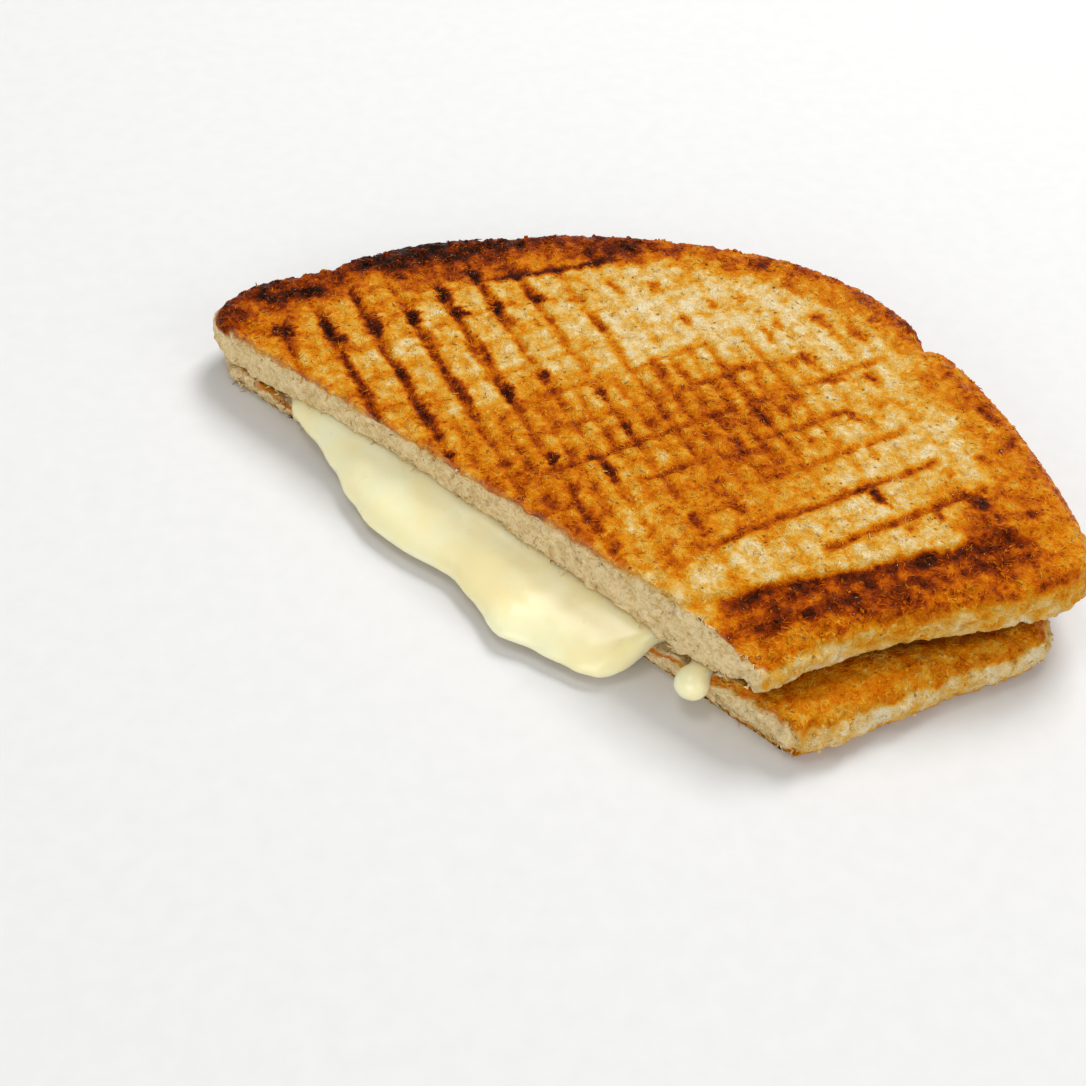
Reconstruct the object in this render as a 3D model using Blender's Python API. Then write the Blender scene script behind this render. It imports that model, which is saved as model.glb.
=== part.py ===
"""Half of a grilled cheese sandwich, lying flat on its bottom slice.

The half keeps the domed crust of the loaf on its far side and the straight knife cut
on its near left side, where the melted cheese runs out. Lengths in the constants are
millimetres; the scene is in metres with +Z up. Plan positions are measured on the
sandwich with X along the straight bottom crust and Y towards the domed crust.
"""

import math

import bmesh
import bpy
from mathutils import Vector

MM = 0.001
COLLECTION_NAME = "grilled_cheese_sandwich_half"

# Knife cut: a straight line in plan from the thin tip to the thick front corner
CUT_TIP = Vector((-42.6, 79.0))
CUT_CORNER = Vector((12.0, -2.0))
CUT_LENGTH = (CUT_CORNER - CUT_TIP).length
ALONG_CUT = (CUT_CORNER - CUT_TIP).normalized()
OUT_OF_CUT = Vector((ALONG_CUT.y, -ALONG_CUT.x))
CUT_MIDDLE = (CUT_TIP + CUT_CORNER) / 2

# Crust outlines in plan, from the front corner round to the tip: (x, y, is a corner)
TOP_CRUST = [
    (12.0, -2.0, True), (18.0, -0.8, False), (30.0, 1.1, False), (43.0, 0.3, False),
    (54.0, 0.8, False), (59.4, 4.4, False), (61.6, 14.0, False), (62.0, 27.0, False),
    (61.0, 39.0, False), (59.4, 47.0, False), (56.4, 48.8, True), (57.4, 56.0, False),
    (52.0, 68.0, False), (42.0, 78.0, False), (27.0, 86.3, False), (12.0, 91.6, False),
    (-8.0, 94.9, False), (-22.0, 93.8, True), (-24.2, 92.2, True), (-37.5, 90.6, False),
    (-44.6, 85.2, False), (-42.6, 79.0, True),
]
BOTTOM_CRUST = [
    (15.3, -6.9, True), (23.0, -6.0, False), (38.0, -3.2, False), (51.0, -1.0, False),
    (55.4, 3.6, False), (57.4, 14.0, False), (58.4, 27.0, False), (57.8, 39.0, False),
    (56.0, 48.0, False), (54.6, 56.0, False), (49.6, 67.0, False), (40.0, 76.6, False),
    (25.0, 84.6, False), (10.0, 89.8, False), (-8.0, 93.0, False), (-23.0, 91.6, False),
    (-36.0, 88.8, False), (-42.4, 84.4, False), (-42.6, 79.0, True),
]
CRUST_STEP = 3.2
CUT_STEP = 5.2

# Heights above the table
TIP_HEIGHT = 10.5
CORNER_HEIGHT = 16.0
SEAM_HEIGHT = 5.0
FRONT_SEAM_RISE = 3.2
FRONT_SEAM_REACH = 13.0
CHEESE_THICKNESS = 2.2
CHEESE_SWELL = 2.9
SWELL_CENTRE = 46.0
SWELL_HALF_LENGTH = 25.0
SWELL_DEPTH = 12.0
TOUCH_GAP = 0.4

# The slices close up along the cut towards its tip and its front corner
CLOSED_SHARE = 0.72
TIP_CLOSED = 3.0
TIP_OPEN = 20.0
CORNER_OPEN = 84.0
CORNER_CLOSED = 92.0
CLOSED_DEPTH = 7.0

# The crusts are pressed together, except where the front edge gapes
PINCH_START = 0.9
PINCH_END = 0.975
PINCH_SHARE = 0.6
PINCH_CLEAR_OF_CUT = 16.0
GAPE_CENTRE = 41.0
GAPE_HALF_LENGTH = 14.0
GAPE_DEPTH = 14.0
GAPE_SHARE = 0.65
FLAT_AREA = 0.01
SIDE_TOLERANCE = 1e-3

# Pressed corners of the front edge: the top slice thins out to a rim
CORNER_DROOP = 3.4
CORNER_DROOP_REACH = 7.0
FRONT_DROOP = 1.6
FRONT_DROOP_REACH = 4.0

# Grill marks pressed into the top face: two crossed sets of V grooves, each as its
# direction across the marks, where one mark lies and the pitch
UPRIGHT_TURN = math.radians(8.5)
LEVEL_TURN = math.radians(11.3)
GRILL_SETS = [
    (Vector((math.cos(UPRIGHT_TURN), math.sin(UPRIGHT_TURN))), -16.96, 6.18),
    (Vector((-math.sin(LEVEL_TURN), math.cos(LEVEL_TURN))), 36.97, 7.16),
]
GRILL_HALF_WIDTH = 1.0
GRILL_DEPTH = 0.8
GRILL_REACH = 110.0

# Pressed band along the bottom crust, a step below the grilled field
BAND_TOP = 10.4
BAND_SLOPE = 1.0
BAND_DEPTH = 0.9

# Ring profiles of the slices: (scale about the middle of the cut, share of the height)
TOP_RINGS = [(0.965, 0.0), (0.99, 0.06), (1.0, 0.3), (0.993, 0.64), (0.972, 0.88), (0.938, 1.0)]
BOTTOM_RINGS = [(0.955, 0.0), (0.99, 0.13), (1.0, 0.38), (0.992, 0.64), (0.975, 0.86), (0.938, 1.0)]

# Melted cheese: how far it reaches into the sandwich and bulges out of the cut
CHEESE_START = 11.0
CHEESE_END = 90.0
CHEESE_STATIONS = 32
CHEESE_CRUST_MARGIN = 11.0
END_DEPTH = 6.0
END_TAPER = 3.0
FILLING_INSETS = (1.5, 4.5, 9.0, 15.0, 21.0, 27.0, 33.0, 39.0, 45.0)
TONGUE_HANG = 0.8
TONGUE_FULL_REACH = 5.0
LIP_REACH = 0.8
STEP_SEPARATION = 0.02

# How far the tongue bulges out along the cut: (run along the cut, reach)
TONGUE_REACH = [
    (14.0, 0.0), (21.0, 0.3), (26.0, 2.6), (32.0, 5.9), (38.0, 7.6), (44.0, 7.6),
    (52.0, 6.6), (57.0, 7.8), (63.5, 10.0), (69.0, 8.6), (75.0, 7.6), (78.0, 6.4),
    (79.8, 3.2), (80.6, 0.0),
]

# Section of the tongue: (share of the reach, share of the height), from below to above
TONGUE_SECTION = [
    (0.3, 0.0), (0.7, 0.0), (0.92, 0.1), (1.0, 0.27), (0.96, 0.47), (0.8, 0.68),
    (0.52, 0.86), (0.24, 0.96),
]
DROP_PLACE = 87.6
DROP_OUT = 2.25
DROP_HEIGHT = 6.0
DROP_RADIUS = 2.1


def smooth_step(value):
    """Return the smooth 0 to 1 ramp of a value already scaled to that range."""
    t = min(max(value, 0.0), 1.0)
    return t * t * (3.0 - 2.0 * t)


def cut_coordinates(x, y):
    """Return (v, u): the run along the cut from its tip, and the reach out of it."""
    from_tip = Vector((x, y)) - CUT_TIP
    return from_tip.dot(ALONG_CUT), from_tip.dot(OUT_OF_CUT)


def plan_point(v, u):
    """Return the plan point at run v along the cut and reach u out of it."""
    return CUT_TIP + ALONG_CUT * v + OUT_OF_CUT * u


def face_height(x, y):
    """Return the height of the pressed top face, which falls towards the tip."""
    v, _ = cut_coordinates(x, y)
    plane = TIP_HEIGHT + (CORNER_HEIGHT - TIP_HEIGHT) * v / CUT_LENGTH
    corner_distance = (Vector((x, y)) - CUT_CORNER).length
    droop = CORNER_DROOP * math.exp(-((corner_distance / CORNER_DROOP_REACH) ** 2))
    front = FRONT_DROOP * smooth_step((FRONT_DROOP_REACH - y) / FRONT_DROOP_REACH)
    return plane - max(droop, front)


def seam_height(x, y):
    """Return the height of the middle of the filling."""
    v, _ = cut_coordinates(x, y)
    thinning = 1.2 * smooth_step((30.0 - v) / 30.0)
    rise = FRONT_SEAM_RISE * smooth_step((FRONT_SEAM_REACH - y) / FRONT_SEAM_REACH)
    return SEAM_HEIGHT - thinning + rise


def crust_closeness(x, y):
    """Return how far a point lies from the middle of the cut towards the crust."""
    offset = Vector((x, y)) - CUT_MIDDLE
    for start, end in zip(TOP_OUTLINE, TOP_OUTLINE[1:]):
        near = start - CUT_MIDDLE
        far = end - CUT_MIDDLE
        area = near.cross(far)
        if abs(area) < FLAT_AREA:
            continue
        share_near = offset.cross(far) / area
        share_far = near.cross(offset) / area
        if min(share_near, share_far) > -SIDE_TOLERANCE:
            return share_near + share_far
    return 0.0


def pinch(x, y):
    """Return how much the crusts are pressed together at a point, from 0 to 1."""
    closeness = (crust_closeness(x, y) - PINCH_START) / (PINCH_END - PINCH_START)
    gape = math.exp(-(((x - GAPE_CENTRE) / GAPE_HALF_LENGTH) ** 2))
    gape *= GAPE_SHARE * smooth_step((GAPE_DEPTH - y) / GAPE_DEPTH)
    _, u = cut_coordinates(x, y)
    away_from_cut = smooth_step(-u / PINCH_CLEAR_OF_CUT)
    return PINCH_SHARE * smooth_step(closeness) * (1.0 - gape) * away_from_cut


def closing(x, y):
    """Return how much the slices close up on each other at the ends of the cut."""
    v, u = cut_coordinates(x, y)
    tip = smooth_step((TIP_OPEN - v) / (TIP_OPEN - TIP_CLOSED))
    corner = smooth_step((v - CORNER_OPEN) / (CORNER_CLOSED - CORNER_OPEN))
    return CLOSED_SHARE * max(tip, corner) * math.exp(min(u, 0.0) / CLOSED_DEPTH)


def filling_half(x, y):
    """Return half the height of the space between the slices."""
    v, u = cut_coordinates(x, y)
    along = math.exp(-(((v - SWELL_CENTRE) / SWELL_HALF_LENGTH) ** 2))
    inward = math.exp(min(u, 0.0) / SWELL_DEPTH)
    swell = CHEESE_SWELL * along * inward
    half = (CHEESE_THICKNESS + swell) / 2 + TOUCH_GAP
    return half * (1.0 - pinch(x, y)) * (1.0 - closing(x, y))


def underside_height(x, y):
    """Return the height of the top slice's underside."""
    return seam_height(x, y) + filling_half(x, y)


def lower_slice_height(x, y):
    """Return the height of the bottom slice's upper face."""
    return seam_height(x, y) - filling_half(x, y)


def groove_depth(x, y):
    """Return how deep the grill marks are pressed at a point."""
    depth = 0.0
    for across, start, pitch in GRILL_SETS:
        position = across.dot(Vector((x, y))) - start
        offset = abs((position + pitch / 2) % pitch - pitch / 2)
        depth = max(depth, GRILL_DEPTH * (1.0 - offset / GRILL_HALF_WIDTH))
    return depth


def face_relief(x, y):
    """Return how deep the grill marks and the front band are pressed at a point."""
    band = BAND_DEPTH * smooth_step((BAND_TOP - y) / BAND_SLOPE)
    return max(band, groove_depth(x, y))


def smooth_run(points, step):
    """Return points along a smooth curve through (x, y, is a corner) points."""
    run = []
    for index in range(len(points) - 1):
        start = Vector(points[index][:2])
        end = Vector(points[index + 1][:2])
        before = start - (end - start) if points[index][2] else Vector(points[index - 1][:2])
        after = end + (end - start) if points[index + 1][2] else Vector(points[index + 2][:2])
        pieces = max(1, round((end - start).length / step))
        for piece in range(pieces):
            t = piece / pieces
            slope_in = (end - before) / 2
            slope_out = (after - start) / 2
            run.append(
                start * (2 * t**3 - 3 * t**2 + 1)
                + end * (3 * t**2 - 2 * t**3)
                + slope_in * (t**3 - 2 * t**2 + t)
                + slope_out * (t**3 - t**2)
            )
    return run


def slice_outline(crust):
    """Return the closed outline of a slice: its crust, then the straight cut."""
    outline = smooth_run(crust, CRUST_STEP)
    corner = Vector(crust[0][:2])
    pieces = round((corner - CUT_TIP).length / CUT_STEP)
    outline.extend(CUT_TIP.lerp(corner, piece / pieces) for piece in range(pieces))
    return outline


TOP_OUTLINE = slice_outline(TOP_CRUST)


def loft_rings(outline, rings):
    """Return a bmesh of a pad whose height runs from 0 to 1, bridged ring by ring."""
    mesh = bmesh.new()
    loops = []
    for scale, share in rings:
        loop = [
            mesh.verts.new((*(CUT_MIDDLE + (point - CUT_MIDDLE) * scale), share))
            for point in outline
        ]
        loops.append(loop)
    count = len(outline)
    for lower, upper in zip(loops, loops[1:]):
        for index in range(count):
            following = (index + 1) % count
            mesh.faces.new((lower[index], lower[following], upper[following], upper[index]))
    mesh.faces.new(list(reversed(loops[0])))
    mesh.faces.new(loops[-1])
    return mesh


def split_cap(mesh, share, origin, normal):
    """Cut the faces of one flat cap along an upright plane."""
    faces = [face for face in mesh.faces if all(abs(v.co.z - share) < 1e-6 for v in face.verts)]
    edges = {edge for face in faces for edge in face.edges}
    verts = {vert for face in faces for vert in face.verts}
    bmesh.ops.bisect_plane(
        mesh,
        geom=[*faces, *edges, *verts],
        plane_co=(*origin, 0.0),
        plane_no=(*normal, 0.0),
        dist=1e-4,
    )


def split_at_filling(mesh, share):
    """Cut a cap along the lines where the cheese has its sections and steps."""
    for v in cheese_stations():
        split_cap(mesh, share, plan_point(v, 0.0), ALONG_CUT)
    for inset in FILLING_INSETS:
        split_cap(mesh, share, plan_point(0.0, -inset), OUT_OF_CUT)


def split_along_grill(mesh):
    """Cut the top face along both edges and the bottom of every grill mark."""
    for across, start, pitch in GRILL_SETS:
        reach = round(GRILL_REACH / pitch)
        for count in range(-reach, reach + 1):
            for side in (-GRILL_HALF_WIDTH, 0.0, GRILL_HALF_WIDTH):
                split_cap(mesh, 1.0, across * (start + count * pitch + side), across)
    for level in (BAND_TOP, BAND_TOP - BAND_SLOPE):
        split_cap(mesh, 1.0, Vector((0.0, level)), Vector((0.0, 1.0)))


def drape(mesh, floor, ceiling):
    """Turn each vertex's share of the height into a height between two surfaces."""
    bmesh.ops.triangulate(mesh, faces=mesh.faces)
    for vert in mesh.verts:
        x, y, share = vert.co
        vert.co = (x, y, floor(x, y) * (1.0 - share) + ceiling(x, y, share) * share)


def add_material(name, colour, roughness):
    """Return a Principled material of one colour."""
    material = bpy.data.materials.new(name)
    material.use_nodes = True
    shader = material.node_tree.nodes["Principled BSDF"]
    shader.inputs["Base Color"].default_value = (*colour, 1.0)
    shader.inputs["Roughness"].default_value = roughness
    shader.inputs["Metallic"].default_value = 0.0
    material.diffuse_color = (*colour, 1.0)
    return material


def add_object(name, mesh, material, collection):
    """Return a new object made of a bmesh given in millimetres."""
    bmesh.ops.scale(mesh, vec=(MM, MM, MM), verts=mesh.verts)
    bmesh.ops.recalc_face_normals(mesh, faces=mesh.faces)
    data = bpy.data.meshes.new(name)
    mesh.to_mesh(data)
    mesh.free()
    data.materials.append(material)
    built = bpy.data.objects.new(name, data)
    collection.objects.link(built)
    return built


def build_top_slice(collection):
    """Build the upper slice with its grill marks, front band and thinned front edge."""
    mesh = loft_rings(TOP_OUTLINE, TOP_RINGS)
    split_at_filling(mesh, 0.0)
    split_along_grill(mesh)

    def ceiling(x, y, share):
        relief = face_relief(x, y) if share == 1.0 else 0.0
        return face_height(x, y) - relief

    drape(mesh, underside_height, ceiling)
    material = add_material("toasted_bread", (0.62, 0.30, 0.07), 0.55)
    return add_object("top_slice", mesh, material, collection)


def build_bottom_slice(collection):
    """Build the lower slice, which stands out beyond the upper one at the front."""
    mesh = loft_rings(slice_outline(BOTTOM_CRUST), BOTTOM_RINGS)
    split_at_filling(mesh, 1.0)
    drape(mesh, lambda x, y: 0.0, lambda x, y, share: lower_slice_height(x, y))
    material = add_material("toasted_bread_underneath", (0.60, 0.36, 0.12), 0.6)
    return add_object("bottom_slice", mesh, material, collection)


def crust_depth(v):
    """Return how far the top slice reaches inwards from the cut at run v."""
    depth = 0.0
    for start, end in zip(TOP_OUTLINE, TOP_OUTLINE[1:]):
        start_v, start_u = cut_coordinates(*start)
        end_v, end_u = cut_coordinates(*end)
        if min(start_v, end_v) <= v <= max(start_v, end_v) and start_v != end_v:
            share = (v - start_v) / (end_v - start_v)
            depth = max(depth, -(start_u + (end_u - start_u) * share))
    return depth


def cheese_stations():
    """Return the runs along the cut at which the cheese has a section."""
    spacing = (CHEESE_END - CHEESE_START) / (CHEESE_STATIONS - 1)
    return [CHEESE_START + spacing * station for station in range(CHEESE_STATIONS)]


def tongue_reach(v):
    """Return how far the tongue bulges out of the cut at run v."""
    for (start, low), (end, high) in zip(TONGUE_REACH, TONGUE_REACH[1:]):
        if start <= v < end:
            return low + (high - low) * smooth_step((v - start) / (end - start))
    return 0.0


def cheese_section(v):
    """Return the closed section of the cheese at run v, as reach out and height."""
    clear_of_front = END_DEPTH + END_TAPER * (CHEESE_END - v)
    depth = max(END_DEPTH, min(crust_depth(v) - CHEESE_CRUST_MARGIN, clear_of_front))
    lower = []
    upper = []
    for step, inset in enumerate(reversed(FILLING_INSETS)):
        inset = min(inset, depth - step * STEP_SEPARATION)
        point = plan_point(v, -inset)
        lower.append((-inset, lower_slice_height(*point) + TOUCH_GAP))
        upper.append((-inset, underside_height(*point) - TOUCH_GAP))
    lip = plan_point(v, 0.0)
    top = underside_height(*lip) - TOUCH_GAP
    bottom = lower_slice_height(*lip) + TOUCH_GAP
    reach = tongue_reach(v)
    hang = bottom - (bottom - TONGUE_HANG) * smooth_step(reach / TONGUE_FULL_REACH)
    reach += LIP_REACH
    outside = [(TOUCH_GAP, bottom), (TOUCH_GAP, hang + (bottom - hang) * 0.2)]
    outside.extend(
        (TOUCH_GAP + (reach - TOUCH_GAP) * out, hang + (top - hang) * rise)
        for out, rise in TONGUE_SECTION
    )
    outside.append((TOUCH_GAP, top))
    return lower + outside + list(reversed(upper))


def build_cheese(collection):
    """Build the layer of cheese with the tongue that runs out of the cut."""
    mesh = bmesh.new()
    loops = []
    for v in cheese_stations():
        loop = [mesh.verts.new((*plan_point(v, u), z)) for u, z in cheese_section(v)]
        loops.append(loop)
    count = len(loops[0])
    for near, far in zip(loops, loops[1:]):
        for index in range(count):
            following = (index + 1) % count
            mesh.faces.new((near[index], near[following], far[following], far[index]))
    mesh.faces.new(loops[0])
    mesh.faces.new(loops[-1])
    bmesh.ops.triangulate(mesh, faces=mesh.faces)
    material = add_material("melted_cheese", (0.90, 0.82, 0.45), 0.3)
    return add_object("cheese", mesh, material, collection)


def add_drop(cheese, cutters):
    """Join the bead of cheese that is squeezed out near the front corner."""
    place = plan_point(DROP_PLACE, DROP_OUT)
    bpy.ops.mesh.primitive_uv_sphere_add(
        segments=16,
        ring_count=10,
        radius=DROP_RADIUS * MM,
        location=(place.x * MM, place.y * MM, DROP_HEIGHT * MM),
    )
    drop = bpy.context.object
    drop.name = "drop_cutter"
    for owner in list(drop.users_collection):
        owner.objects.unlink(drop)
    cutters.objects.link(drop)
    drop.hide_render = True
    drop.display_type = "WIRE"
    joined = cheese.modifiers.new("drop", "BOOLEAN")
    joined.operation = "UNION"
    joined.object = drop


def centre_on_origin(objects):
    """Move the pieces so that the origin is under the middle of the whole."""
    corners = [vert.co for built in objects for vert in built.data.vertices]
    middle_x = (min(c.x for c in corners) + max(c.x for c in corners)) / 2
    middle_y = (min(c.y for c in corners) + max(c.y for c in corners)) / 2
    return Vector((-middle_x, -middle_y, 0.0))


def main():
    """Build the half sandwich in an empty scene."""
    for existing in list(bpy.data.objects):
        bpy.data.objects.remove(existing, do_unlink=True)
    collection = bpy.data.collections.new(COLLECTION_NAME)
    cutters = bpy.data.collections.new("cutters")
    bpy.context.scene.collection.children.link(collection)
    bpy.context.scene.collection.children.link(cutters)
    bottom_slice = build_bottom_slice(collection)
    cheese = build_cheese(collection)
    top_slice = build_top_slice(collection)
    add_drop(cheese, cutters)
    shift = centre_on_origin((bottom_slice, cheese, top_slice))
    for built in (*collection.objects, *cutters.objects):
        built.location += shift


if __name__ == "__main__":
    main()
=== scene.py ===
"""Looks of half a grilled cheese sandwich lying flat on its bottom slice.

Two toasted slices, the melted cheese between them, and the crumbs, fibres, flakes and oil
that a press leaves. Plan positions are millimetres, with X along the straight bottom crust
and Y towards the domed crust. Heights are millimetres above the table. The finished meshes
are in metres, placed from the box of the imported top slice.
"""

import itertools
import logging
import math
from dataclasses import dataclass, field
from enum import Enum

import bmesh
import bpy
import numpy as np
from bmesh.types import BMesh, BMVert
from bpy.types import ID, Material, Mesh, Node, NodeSocket, NodeTree, Object
from mathutils import Euler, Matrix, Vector


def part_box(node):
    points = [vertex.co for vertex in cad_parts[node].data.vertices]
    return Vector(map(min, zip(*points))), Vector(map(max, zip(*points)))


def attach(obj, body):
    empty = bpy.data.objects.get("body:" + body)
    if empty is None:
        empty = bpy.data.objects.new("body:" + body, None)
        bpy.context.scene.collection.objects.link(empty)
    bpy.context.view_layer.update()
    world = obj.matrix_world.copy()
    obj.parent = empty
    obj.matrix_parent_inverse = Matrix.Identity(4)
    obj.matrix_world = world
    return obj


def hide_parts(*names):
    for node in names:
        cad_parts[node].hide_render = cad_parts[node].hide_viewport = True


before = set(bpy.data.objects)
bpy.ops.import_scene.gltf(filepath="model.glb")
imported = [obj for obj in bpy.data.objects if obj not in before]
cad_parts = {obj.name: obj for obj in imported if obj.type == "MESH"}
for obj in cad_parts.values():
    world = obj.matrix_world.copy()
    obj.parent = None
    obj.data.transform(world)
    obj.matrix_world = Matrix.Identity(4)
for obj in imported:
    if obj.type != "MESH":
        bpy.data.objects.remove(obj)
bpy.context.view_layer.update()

LOG = logging.getLogger("sandwich")
MM = 0.001
BODY = "root"
Array = np.ndarray
Stops = tuple[tuple[float, str], ...]
Triple = tuple[float, float, float]
Pair = tuple[float, float]


class Slot(Enum):
    """Material slots of the record."""

    TOAST = "toasted_bread"
    CHEESE = "melted_cheese"


def linear_colour(code: str) -> tuple[float, float, float, float]:
    """Turn an sRGB hex colour into linear values.

    Args:
        code: Colour such as "#D2851F".

    Returns:
        Linear red, green, blue and an alpha of 1.
    """
    parts = [int(code[start : start + 2], 16) / 255 for start in (1, 3, 5)]
    turned = [c / 12.92 if c <= 0.04045 else ((c + 0.055) / 1.055) ** 2.4 for c in parts]
    return (*turned, 1.0)


def pattern_scale(size_mm: float) -> float:
    """Return the texture scale that gives features of a size in millimetres."""
    return 1.0 / (size_mm * MM)


def smooth_step(value: Array | float) -> Array:
    """Return the smooth 0 to 1 ramp of values already scaled to that range."""
    t = np.clip(value, 0.0, 1.0)
    return t * t * (3.0 - 2.0 * t)


def hump(value: Array | float, centre: float, half_width: float) -> Array:
    """Return 1 at a centre, falling smoothly to about a third at a half width from it."""
    return np.exp(-(((value - centre) / half_width) ** 2))


def set_node(
    node: Node, options: dict | None = None, values: dict | None = None, links: dict | None = None,
) -> Node:
    """Give a node its settings and links.

    Args:
        node: Node to set.
        options: Properties of the node.
        values: Values of unlinked inputs, by name or number.
        links: Sockets, or nodes for their first one, to link to inputs by name or number.

    Returns:
        The same node.
    """
    for name, value in (options or {}).items():
        setattr(node, name, value)
    for name, value in (values or {}).items():
        node.inputs[name].default_value = value
    for name, source in (links or {}).items():
        socket = source.outputs[0] if isinstance(source, Node) else source
        node.id_data.links.new(socket, node.inputs[name])
    return node


def add_node(
    tree: NodeTree, kind: str, options: dict | None = None, values: dict | None = None,
    links: dict | None = None, stops: tuple = (),
) -> Node:
    """Add a node with its settings and links.

    Args:
        tree: Node tree that gets the node.
        kind: Blender's identifier of the node type.
        options: Properties of the node.
        values: Values of unlinked inputs, by name or number.
        links: Sockets, or nodes for their first one, to link to inputs by name or number.
        stops: Positions and sRGB hex colours of a colour ramp.

    Returns:
        The new node.
    """
    node = set_node(tree.nodes.new(kind), options, values, links)
    for place, (position, code) in enumerate(stops):
        elements = node.color_ramp.elements
        stop = elements[place] if place < 2 else elements.new(position)
        stop.position = position
        stop.color = linear_colour(code)
    return node


def start_material(name: str) -> tuple[Material, NodeTree, NodeSocket]:
    """Return a new material, its nodes and the socket of Object coordinates."""
    material = bpy.data.materials.new(name)
    material.use_nodes = True
    tree = material.node_tree
    return material, tree, add_node(tree, "ShaderNodeTexCoord").outputs["Object"]


def add_object(name: str, data: ID) -> Object:
    """Return a new object of the scene, unturned at the origin."""
    added = bpy.data.objects.new(name, data)
    bpy.context.scene.collection.objects.link(added)
    return added


class CrumbNoise:
    """Smooth random bumps and cells that are the same in every run."""

    cells_each_way = 256
    bump_height = 1.7
    crease_depth = 2.6
    layer_shift = 17.3

    def __init__(self, seed: int) -> None:
        """Draw the random order, slopes and cell centres from a seed."""
        generator = np.random.default_rng(seed)
        self.order = generator.permutation(self.cells_each_way)
        slopes = generator.normal(size=(self.cells_each_way, 3))
        self.slopes = slopes / np.linalg.norm(slopes, axis=1, keepdims=True)
        self.centres = generator.random((self.cells_each_way, 3))
        self.chances = generator.random(self.cells_each_way)

    def pick(self, cells: Array) -> Array:
        """Return a random number from 0 to 255 for each whole-numbered cell."""
        last = self.cells_each_way - 1
        value = self.order[cells[:, 0] & last]
        value = self.order[(value + cells[:, 1]) & last]
        return self.order[(value + cells[:, 2]) & last]

    def bumps(self, points: Array, size: float) -> Array:
        """Return smooth noise at points.

        Args:
            points: Positions in millimetres, one row each.
            size: Width of a bump in millimetres.

        Returns:
            Values between about -1 and 1.
        """
        scaled = points / size
        cell = np.floor(scaled).astype(int)
        inside = scaled - cell
        fade = inside**3 * (inside * (inside * 6 - 15) + 10)
        total = np.zeros(len(points))
        for corner in itertools.product((0, 1), repeat=3):
            slope = self.slopes[self.pick(cell + corner)]
            weight = np.prod(np.where(corner, fade, 1 - fade), axis=1)
            total += weight * np.einsum("ij,ij->i", slope, inside - corner)
        return total * self.bump_height

    def layered(self, points: Array, size: float, layers: int = 3) -> Array:
        """Return noise of several sizes, each half as wide and half as strong."""
        total = sum(
            self.bumps(points + self.layer_shift * n, size / 2**n) / 2**n for n in range(layers)
        )
        return total / (2 - 0.5 ** (layers - 1))

    def bubbles(self, points: Array, size: float) -> Array:
        """Return rounded lumps with creases between them, from about -1 to 1."""
        return 1 - self.crease_depth * np.abs(self.bumps(points, size))

    def cells(self, points: Array, size: float) -> tuple[Array, Array]:
        """Return where points lie among scattered cells.

        Args:
            points: Positions in millimetres, one row each.
            size: Mean spacing of the cells in millimetres.

        Returns:
            Distance to the nearest cell centre in millimetres, and that cell's chance.
        """
        scaled = points / size
        cell = np.floor(scaled).astype(int)
        nearest = np.full(len(points), np.inf)
        chance = np.zeros(len(points))
        for step in itertools.product((-1, 0, 1), repeat=3):
            picked = self.pick(cell + step)
            gap = np.linalg.norm(cell + step + self.centres[picked] - scaled, axis=1)
            closer = gap < nearest
            nearest[closer] = gap[closer]
            chance[closer] = self.chances[picked[closer]]
        return nearest * size, chance


@dataclass(frozen=True)
class Grain:
    """Layered noise: its strength, the width of its bumps, and where it is read."""

    strength: float
    size: float
    shift: float = 0.0
    layers: int = 3

    def over(self, noise: CrumbNoise, points: Array) -> Array:
        """Return the grain at points in millimetres."""
        return self.strength * noise.layered(points + self.shift, self.size, self.layers)


@dataclass(frozen=True)
class Pits:
    """Scattered round holes: their spacing, half width, and the share that is left out."""

    spacing: float
    half_width: float
    left_out: float
    shift: float = 0.0

    def over(self, noise: CrumbNoise, points: Array) -> Array:
        """Return 1 in the middle of a hole and 0 well outside it."""
        gap, chance = noise.cells(points + self.shift, self.spacing)
        return hump(gap, 0.0, self.half_width) * (chance > self.left_out)


@dataclass(frozen=True)
class KnifeCut:
    """The straight cut across the sandwich, from the thin tip to the front corner."""

    tip: Pair = (-42.6, 79.0)
    corner: Pair = (12.0, -2.0)

    @property
    def length(self) -> float:
        """Length of the cut in millimetres."""
        return math.dist(self.tip, self.corner)

    @property
    def along(self) -> Array:
        """Unit direction from the tip to the corner."""
        return (np.array(self.corner) - self.tip) / self.length

    @property
    def outward(self) -> Array:
        """Unit direction out of the cut face."""
        return np.array((self.along[1], -self.along[0]))

    @property
    def middle(self) -> Array:
        """Middle of the cut."""
        return (np.array(self.tip) + self.corner) / 2

    def coordinates(self, x: Array, y: Array) -> tuple[Array, Array]:
        """Return the run along the cut from its tip, and the reach out of it."""
        dx, dy = x - self.tip[0], y - self.tip[1]
        run = dx * self.along[0] + dy * self.along[1]
        return run, dx * self.outward[0] + dy * self.outward[1]

    def point(self, run: float, reach: float) -> Array:
        """Return the plan point at a run along the cut and a reach out of it."""
        return np.array(self.tip) + self.along * run + self.outward * reach


CUT = KnifeCut()


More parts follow.
